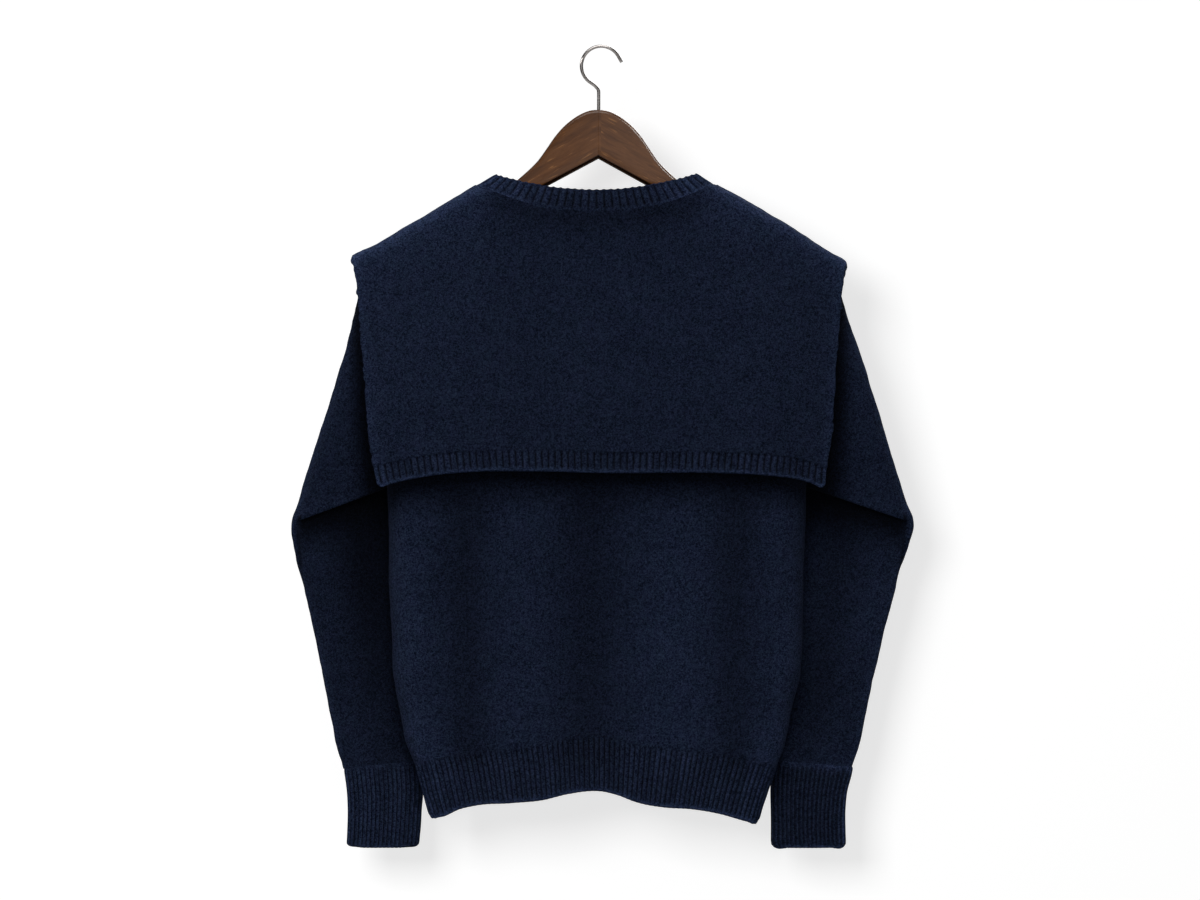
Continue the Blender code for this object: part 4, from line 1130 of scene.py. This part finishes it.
def add_loft(name, rows, finish, node, painted_shades=None):
    """A closed body through loops of points, with flat ends, that stands for a rigid node."""
    count, around = rows.shape[:2]
    faces = grid_faces(count, around, True)
    verts = rows.reshape(-1, 3) * MM
    ends = [list(range(around))[::-1], list(range((count - 1) * around, count * around))]
    if inside_out(verts, faces):
        faces, ends = faces[:, ::-1], [end[::-1] for end in ends]
    mesh = bpy.data.meshes.new(name)
    mesh.from_pydata(verts.tolist(), [], faces.tolist() + ends)
    mesh.shade_smooth()
    for end in mesh.polygons[-2:]:
        end.use_smooth = False
    # The wood's painted light and shade, stored as its tone
    if painted_shades is not None:
        store(mesh, "tone", np.repeat(painted_shades[None, :], count, axis=0).ravel())
    add_piece(name, mesh, finish, node)


def make_arm(side, word, wood):
    """One half of the hanger's wood: a lofted bar with a round top and a chamfered underside."""
    tips = np.radians(np.linspace(70, 12, 7))
    straight = np.linspace(0, WOOD_TIP - WOOD_TIP_RADIUS * (1 - math.cos(tips[0])), 64)[:-1]
    straight = np.insert(straight, 1, [0.3, 1.0])
    places = np.concatenate([straight, WOOD_TIP - WOOD_TIP_RADIUS * (1 - np.cos(tips))])
    run = WOOD_TOP["x"][-1]
    top = np.where(places <= run, curve(WOOD_TOP, "z")(places),
                   WOOD_TOP["z"][-1] - (places - run) * math.tan(WOOD_TOP_SLOPE))
    low = WOOD_UNDERSIDE - places * math.tan(ARM_SLOPE)
    share = np.concatenate([np.ones(len(straight)), np.sin(tips) / math.sin(tips[0])])
    middle, half = (top + low) / 2, (top - low) / 2 * share
    thin = smoothstep(places / WOOD_THINS_OVER)
    depth = (WOOD_DEPTH + (WOOD_DEPTH_LOW - WOOD_DEPTH) * thin) * np.sqrt(share)
    arc = np.radians(np.linspace(90, 0, 8))
    section = [(0.0, 1.0, 0.0, 0.0, WOOD_ROUND_SHADES[0])]
    section += [
        (1.0, 1.0, -WOOD_ROUND * (1 - math.cos(t)), -WOOD_ROUND * (1 - math.sin(t)), tone)
        for t, tone in zip(arc, np.linspace(*WOOD_ROUND_SHADES, 8))
    ]
    section += WOOD_SECTION
    loop = [(BACK, *row) for row in section] + [(FRONT, *row) for row in section[:0:-1]]
    rows = np.stack([
        stacked(side * places, facing * (depth * deep + dy * np.sqrt(share)),
                middle + half * high + dz * share)
        for facing, deep, high, dy, dz, _ in loop
    ], axis=1)
    pivot = WOOD_TOP["z"][0]
    x, z = rows[..., 0], rows[..., 2] - pivot
    rows[..., 0] = HANGER_X + x * math.cos(WOOD_TILT) + z * math.sin(WOOD_TILT)
    rows[..., 2] = pivot - x * math.sin(WOOD_TILT) + z * math.cos(WOOD_TILT)
    # Painted light and shade at each place round the section
    painted_shades = np.array([row[-1] for row in loop])
    add_loft(f"arm_{word}_wood", rows, (wood, "wood"), "hanger_arm_" + word, painted_shades)


# ---- Materials -------------------------------------------------------------------------------

class Value:
    """A number that a node gives. Arithmetic with it adds Math nodes."""

    def __init__(self, nodes, socket):
        self.nodes, self.socket = nodes, socket

    def math(self, operation, *others):
        node = self.nodes.add("Math", operation=operation)
        for socket, value in zip(node.inputs, (self, *others)):
            self.nodes.put(value, socket)
        return Value(self.nodes, node.outputs[0])

    def __add__(self, other):
        return self.math("ADD", other)

    def __sub__(self, other):
        return self.math("SUBTRACT", other)

    def __mul__(self, other):
        return self.math("MULTIPLY", other)

    def limited(self, low=0.0, high=1.0):
        return self.math("MAXIMUM", low).math("MINIMUM", high)


class Nodes:
    """Short names for building a material's nodes."""

    def __init__(self, name):
        self.material = bpy.data.materials.new(name)
        self.material.use_nodes = True
        self.tree = self.material.node_tree
        self.shader = self.tree.nodes["Principled BSDF"]

    def add(self, kind, **settings):
        """A node. Settings that start with a capital are its inputs."""
        node = self.tree.nodes.new("ShaderNode" + kind)
        for key, value in settings.items():
            if key[0].isupper():
                self.put(value, node.inputs[key])
            else:
                setattr(node, key, value)
        return node

    def put(self, value, socket):
        """Sets a socket to a number or a colour, or links it to what a node gives."""
        if isinstance(value, (int, float, tuple)):
            socket.default_value = value
        else:
            self.tree.links.new(getattr(value, "socket", value), socket)

    def surface(self, **settings):
        for key, value in settings.items():
            self.put(value, self.shader.inputs[key.replace("_", " ")])

    def split(self, vector):
        return [Value(self, part) for part in self.add("SeparateXYZ", Vector=vector).outputs]

    def noise(self, vector, scale, detail=2.0, roughness=0.5, distortion=0.0):
        node = self.add("TexNoise", Vector=vector, Scale=scale, Detail=detail,
                        Roughness=roughness, Distortion=distortion)
        return Value(self, node.outputs["Fac"])

    def ramp(self, value, stops):
        node = self.add("ValToRGB", Fac=value)
        while len(node.color_ramp.elements) < len(stops):
            node.color_ramp.elements.new(0.5)
        for element, (place, colour) in zip(node.color_ramp.elements, stops):
            element.position = place
            element.color = (*colour, 1.0)
        return node.outputs[0]

    def colour_by(self, colour, attribute):
        """Colours the shader by a colour times the light and shade painted on the mesh as a stored
        value.
        """
        stored = self.add("Attribute", attribute_name=attribute).outputs["Fac"]
        node = self.add("VectorMath", operation="SCALE", Vector=colour, Scale=stored)
        self.surface(Base_Color=node.outputs[0])

    def bump(self, height, distance, strength, under=None):
        node = self.add("Bump", Strength=strength, Distance=distance, Height=height)
        if under is not None:
            self.put(under, node.inputs["Normal"])
        return node.outputs[0]


WOOL_VIOLET, WOOL_TEAL = (0.00642, 0.01008, 0.0248), (0.00598, 0.01022, 0.0236)
WOOL_TINT_SCALE = 80.0
# How each channel follows the light and dark of the fibres: the light ones are greyer
WOOL_GREYING = (1.12, 1.0, 0.88)
WOOL_DARKEST, WOOL_LIGHTEST = 0.22, 3.0
WOOL_MIDDLE, WOOL_CONTRAST = 0.475, 3.0
# Curled fibres, by layer: noise scale for each metre, twist, narrowness and share
WOOL_FIBRES = [(330.0, 1.2, 17.0, 0.46), (520.0, 1.4, 15.0, 0.38)]
WOOL_CURLS = (470.0, 0.8, 5.0, 0.42)
WOOL_BLOTCHES = [(24.0, 0.15), (70.0, 0.03)]  # noise scale and share
WOOL_GRAIN_SCALE = 900.0
WOOL_SHARES = (0.80, 0.35, 0.12)  # of the fibres, the grain and the stitches in the tone
# Width and height of a stitch in metres, and how far its legs lean
WALE, RIB_WALE, COURSE, STITCH_LEAN = 0.0030, 0.0027, 0.0023, 1.4


def make_wool(name, wale, gain):
    """Brushed, fulled wool: curled fibres over faint knit stitches, with a soft sheen."""
    n = Nodes(name)
    place = n.add("TexCoord").outputs["Object"]
    # Curls: a twisted noise pushed towards light and dark, so that they wind round each other
    scale, twist, narrow, share = WOOL_CURLS
    curl = (n.noise(place, scale, 1.0, 0.5, twist) - 0.5) * narrow + 0.5
    fibres = curl.limited() * share
    # Fibres: thin lines where a twisted noise crosses its middle value
    for scale, twist, narrow, share in WOOL_FIBRES:
        away = (n.noise(place, scale, 1.0, 0.5, twist) - 0.5).math("ABSOLUTE")
        fibres += (away * -narrow + 1.0).limited() * share
    # Stitches: two leaning legs to each wale
    u, v, _ = n.split(n.add("UVMap", uv_map="knit").outputs[0])
    u, v = u.math("DIVIDE", wale), v.math("DIVIDE", COURSE)
    lean = v + u.math("PINGPONG", 0.5) * STITCH_LEAN
    gap = (u + 0.25).math("PINGPONG", 0.25) * 4.0
    stitches = lean.math("PINGPONG", 0.5) * 2.0 * gap.math("POWER", 0.5)
    grain = n.noise(place, WOOL_GRAIN_SCALE, 2.0, 0.6)
    tone = fibres * WOOL_SHARES[0] + grain * WOOL_SHARES[1] + stitches * WOOL_SHARES[2]
    for scale, share in WOOL_BLOTCHES:
        tone += (n.noise(place, scale, 2.0, 0.55) - 0.5) * share
    light = (tone - WOOL_MIDDLE) * WOOL_CONTRAST + 1.0
    light = light.limited(WOOL_DARKEST, WOOL_LIGHTEST)
    tint = n.ramp(n.noise(place, WOOL_TINT_SCALE, 2.0, 0.5),
                  [(0.38, [channel * gain for channel in WOOL_TEAL]),
                   (0.62, [channel * gain for channel in WOOL_VIOLET])])
    channels = n.add("CombineXYZ")
    for power, socket in zip(WOOL_GREYING, channels.inputs):
        n.put(light.math("POWER", power), socket)
    lit = n.add("VectorMath", operation="MULTIPLY")
    n.put(tint, lit.inputs[0])
    n.put(channels.outputs[0], lit.inputs[1])
    # The colour times the light and shade painted on the mesh
    n.colour_by(lit.outputs[0], "shade")
    knitted = n.bump(stitches, 0.0004, 0.5)
    brushed = n.bump(fibres, 0.0012, 0.8, knitted)
    n.surface(Normal=n.bump(grain, 0.0004, 0.6, brushed), Roughness=0.95,
              Specular_IOR_Level=0.03, Sheen_Weight=0.04, Sheen_Roughness=0.3,
              Sheen_Tint=(0.45, 0.55, 0.9, 1.0))
    return n.material


WOOD_GRAIN_LENGTH = 8.0  # how many times longer the wood's grain is than wide
WOOD_BOARDS = 0.7  # how far apart in their grain the two halves' boards are
# Dark to light, by tone
WOOD_COLOURS = [
    (0.32, (0.044, 0.0172, 0.0074)), (0.48, (0.084, 0.0335, 0.0126)),
    (0.64, (0.122, 0.0500, 0.0180)), (0.92, (0.21, 0.096, 0.034)),
]


def make_wood():
    """Dark stained hardwood under a thin satin varnish, with its grain along each arm."""
    n = Nodes("dark wood")
    x, y, z = n.split(n.add("TexCoord").outputs["Object"])
    side = (x - HANGER_X * MM).math("ABSOLUTE")
    sin, cos = math.sin(ARM_SLOPE), math.cos(ARM_SLOPE)
    board = x.math("SIGN") * WOOD_BOARDS
    place = n.add("CombineXYZ", X=side * cos - z * sin,
                  Y=(side * sin + z * cos) * WOOD_GRAIN_LENGTH,
                  Z=y * WOOD_GRAIN_LENGTH + board).outputs[0]
    clouds = n.noise(place, 16.0, 3.0, 0.55, 0.4)
    broad = n.noise(place, 34.0, 5.0, 0.62, 0.7)
    fine = n.noise(place, 110.0, 3.0, 0.7)
    streak = ((n.noise(place, 62.0, 1.0, 0.5, 0.3) - 0.66) * 3.0).limited()
    tone = clouds * 0.45 + broad * 0.40 + fine * 0.15 + streak * 0.9
    # The grain's colour times the painted light and shade stored on the mesh as its tone
    n.colour_by(n.ramp(tone, WOOD_COLOURS), "tone")
    n.surface(Normal=n.bump(fine, 0.0002, 0.3), Roughness=0.24, Specular_IOR_Level=0.20)
    return n.material


def make_chrome():
    """Dark, slightly smeared chrome wire."""
    n = Nodes("chrome")
    smear = n.noise(n.add("TexCoord").outputs["Object"], 160.0, 3.0, 0.6)
    n.surface(
        Roughness=n.ramp(smear, [(0.3, (0.08, 0.08, 0.08)), (0.8, (0.26, 0.26, 0.26))]),
        Base_Color=n.ramp(smear, [(0.35, (0.20, 0.185, 0.175)), (0.7, (0.34, 0.32, 0.31))]),
        Metallic=1.0,
    )
    return n.material


# ---- Camera, stage and light -----------------------------------------------------------------

PHOTO_WIDTH_M = 1.26  # width of the photo's frame at the garment
CAMERA_DISTANCE = 9.0
SENSOR = 36.0
CAMERA_AIM = (-0.0012, 0.0, -0.4222)
WALL_Y, WALL_REACH, WALL_TOP = 0.085, 1.6, 1.0
WALL_GREY, WALL_GLOW = 0.5, 0.71
FLOOR_Z, FLOOR_REACH, FLOOR_GREY = -1.25, 4.0, 0.8
WORLD_LIGHT, WORLD_SEEN = 0.20, 0.92
LIGHT_AIM = (0.0, 0.0, -0.45)
# Direction, distance, size and power, and the one thing that a light is for. The first three light
# all but the wall. The varnish light draws a streak on the right arm's edge, and the chrome light
# glints on the hook.
LIGHTS = {
    "overhead": ((-0.12, -0.58, 0.80), 6.0, 4.6, 420, None),
    "fill": ((0.2, -1.0, 0.0), 5.0, 3.0, 36, None),
    "front_overhead": ((0.3, 0.75, 0.62), 3.0, 2.0, 80, None),
    "wall_light": ((-0.45, -1.0, 0.36), 5.0, 2.1, 140, "wall"),
    "varnish_light": ((0.50, -0.75, 0.50), 3.0, 0.6, 110, "arm_right_wood"),
    "chrome_light": ((-0.80, -0.45, 0.40), 3.0, 0.5, 30, "hook_wire"),
}


def make_camera():
    data = bpy.data.cameras.new("camera")
    data.sensor_width = SENSOR
    data.lens = SENSOR * CAMERA_DISTANCE / PHOTO_WIDTH_M
    camera = bpy.data.objects.new("camera", data)
    camera.location = (CAMERA_AIM[0], CAMERA_AIM[1] - CAMERA_DISTANCE, CAMERA_AIM[2])
    camera.rotation_euler = (math.pi / 2, 0, 0)
    bpy.context.scene.collection.objects.link(camera)
    bpy.context.scene.camera = camera


def make_plane(name, corners, material):
    mesh = bpy.data.meshes.new(name)
    mesh.from_pydata(corners, [], [(0, 1, 2, 3)])
    mesh.materials.append(material)
    plane = bpy.data.objects.new(name, mesh)
    bpy.context.scene.collection.objects.link(plane)
    return plane


def make_stage():
    """A pale floor, and a white wall that shows, and takes shadows, only on its front."""
    floor = Nodes("pale floor")
    floor.surface(Base_Color=(FLOOR_GREY, FLOOR_GREY, FLOOR_GREY, 1.0), Roughness=0.9)
    ground = make_plane(
        "floor", [(x * FLOOR_REACH, y * FLOOR_REACH, FLOOR_Z)
                  for x, y in ((-1, -1), (1, -1), (1, 1), (-1, 1))], floor.material
    )
    ground.visible_diffuse = False  # light from the floor would wash out the wall's shadows
    wall = Nodes("white wall")
    wall.tree.nodes.remove(wall.shader)
    matt = wall.add("BsdfDiffuse", Color=(WALL_GREY, WALL_GREY, WALL_GREY, 1.0))
    glow = wall.add("Emission", Strength=WALL_GLOW)
    front = wall.add("AddShader")
    mix = wall.add("MixShader", Fac=wall.add("NewGeometry").outputs["Backfacing"])
    clear = wall.add("BsdfTransparent")
    for source, target in (
        (matt, front.inputs[0]), (glow, front.inputs[1]), (front, mix.inputs[1]),
        (clear, mix.inputs[2]), (mix, wall.tree.nodes["Material Output"].inputs["Surface"]),
    ):
        wall.put(source.outputs[0], target)
    plane = make_plane(
        "wall", [(-WALL_REACH, WALL_Y, FLOOR_Z), (WALL_REACH, WALL_Y, FLOOR_Z),
                 (WALL_REACH, WALL_Y, WALL_TOP), (-WALL_REACH, WALL_Y, WALL_TOP)], wall.material
    )
    plane.visible_shadow = plane.visible_diffuse = False
    plane.visible_glossy = plane.visible_transmission = False


def make_light(name, way, distance, size, watts, only):
    """A square soft light in a direction from the garment."""
    data = bpy.data.lights.new(name, "AREA")
    data.size, data.energy = size, watts
    light = bpy.data.objects.new(name, data)
    way = unit(np.array(way))
    light.location = np.array(LIGHT_AIM) + way * distance
    light.rotation_euler = (
        math.pi / 2 - math.asin(way[2]), 0, math.atan2(way[0], -way[1]),
    )
    bpy.context.scene.collection.objects.link(light)
    receivers = bpy.data.collections.new(name + "_lit")
    receivers.objects.link(bpy.data.objects[only or "wall"])
    light.light_linking.receiver_collection = receivers
    receivers.collection_objects[0].light_linking.link_state = "INCLUDE" if only else "EXCLUDE"
    light.visible_diffuse = name != "varnish_light"


def make_lights():
    for name, settings in LIGHTS.items():
        make_light(name, *settings)
    world = bpy.data.worlds.new("studio")
    world.use_nodes = True
    tree = world.node_tree
    background = tree.nodes["Background"]
    background.inputs["Color"].default_value = (1, 1, 1, 1)
    seen = tree.nodes.new("ShaderNodeMapRange")
    seen.inputs["To Min"].default_value = WORLD_LIGHT
    seen.inputs["To Max"].default_value = WORLD_SEEN
    rays = tree.nodes.new("ShaderNodeLightPath")
    tree.links.new(rays.outputs["Is Camera Ray"], seen.inputs["Value"])
    tree.links.new(seen.outputs[0], background.inputs["Strength"])
    bpy.context.scene.world = world


def main():
    bpy.context.scene.view_settings.view_transform = "Standard"
    wool = (make_wool("navy wool", WALE, 1.0), "wool")
    rib = (make_wool("navy wool rib", RIB_WALE, RIB_GAIN), "wool_rib")
    make_body(wool, rib)
    make_neck(rib)
    make_scarf(wool, rib)
    for side, word in SIDES:
        make_sleeve(side, word, wool)
        make_cuff(side, word, rib)
    make_hook(make_chrome())
    wood = make_wood()
    for side, word in SIDES:
        make_arm(side, word, wood)
    make_camera()
    make_stage()
    make_lights()


main()
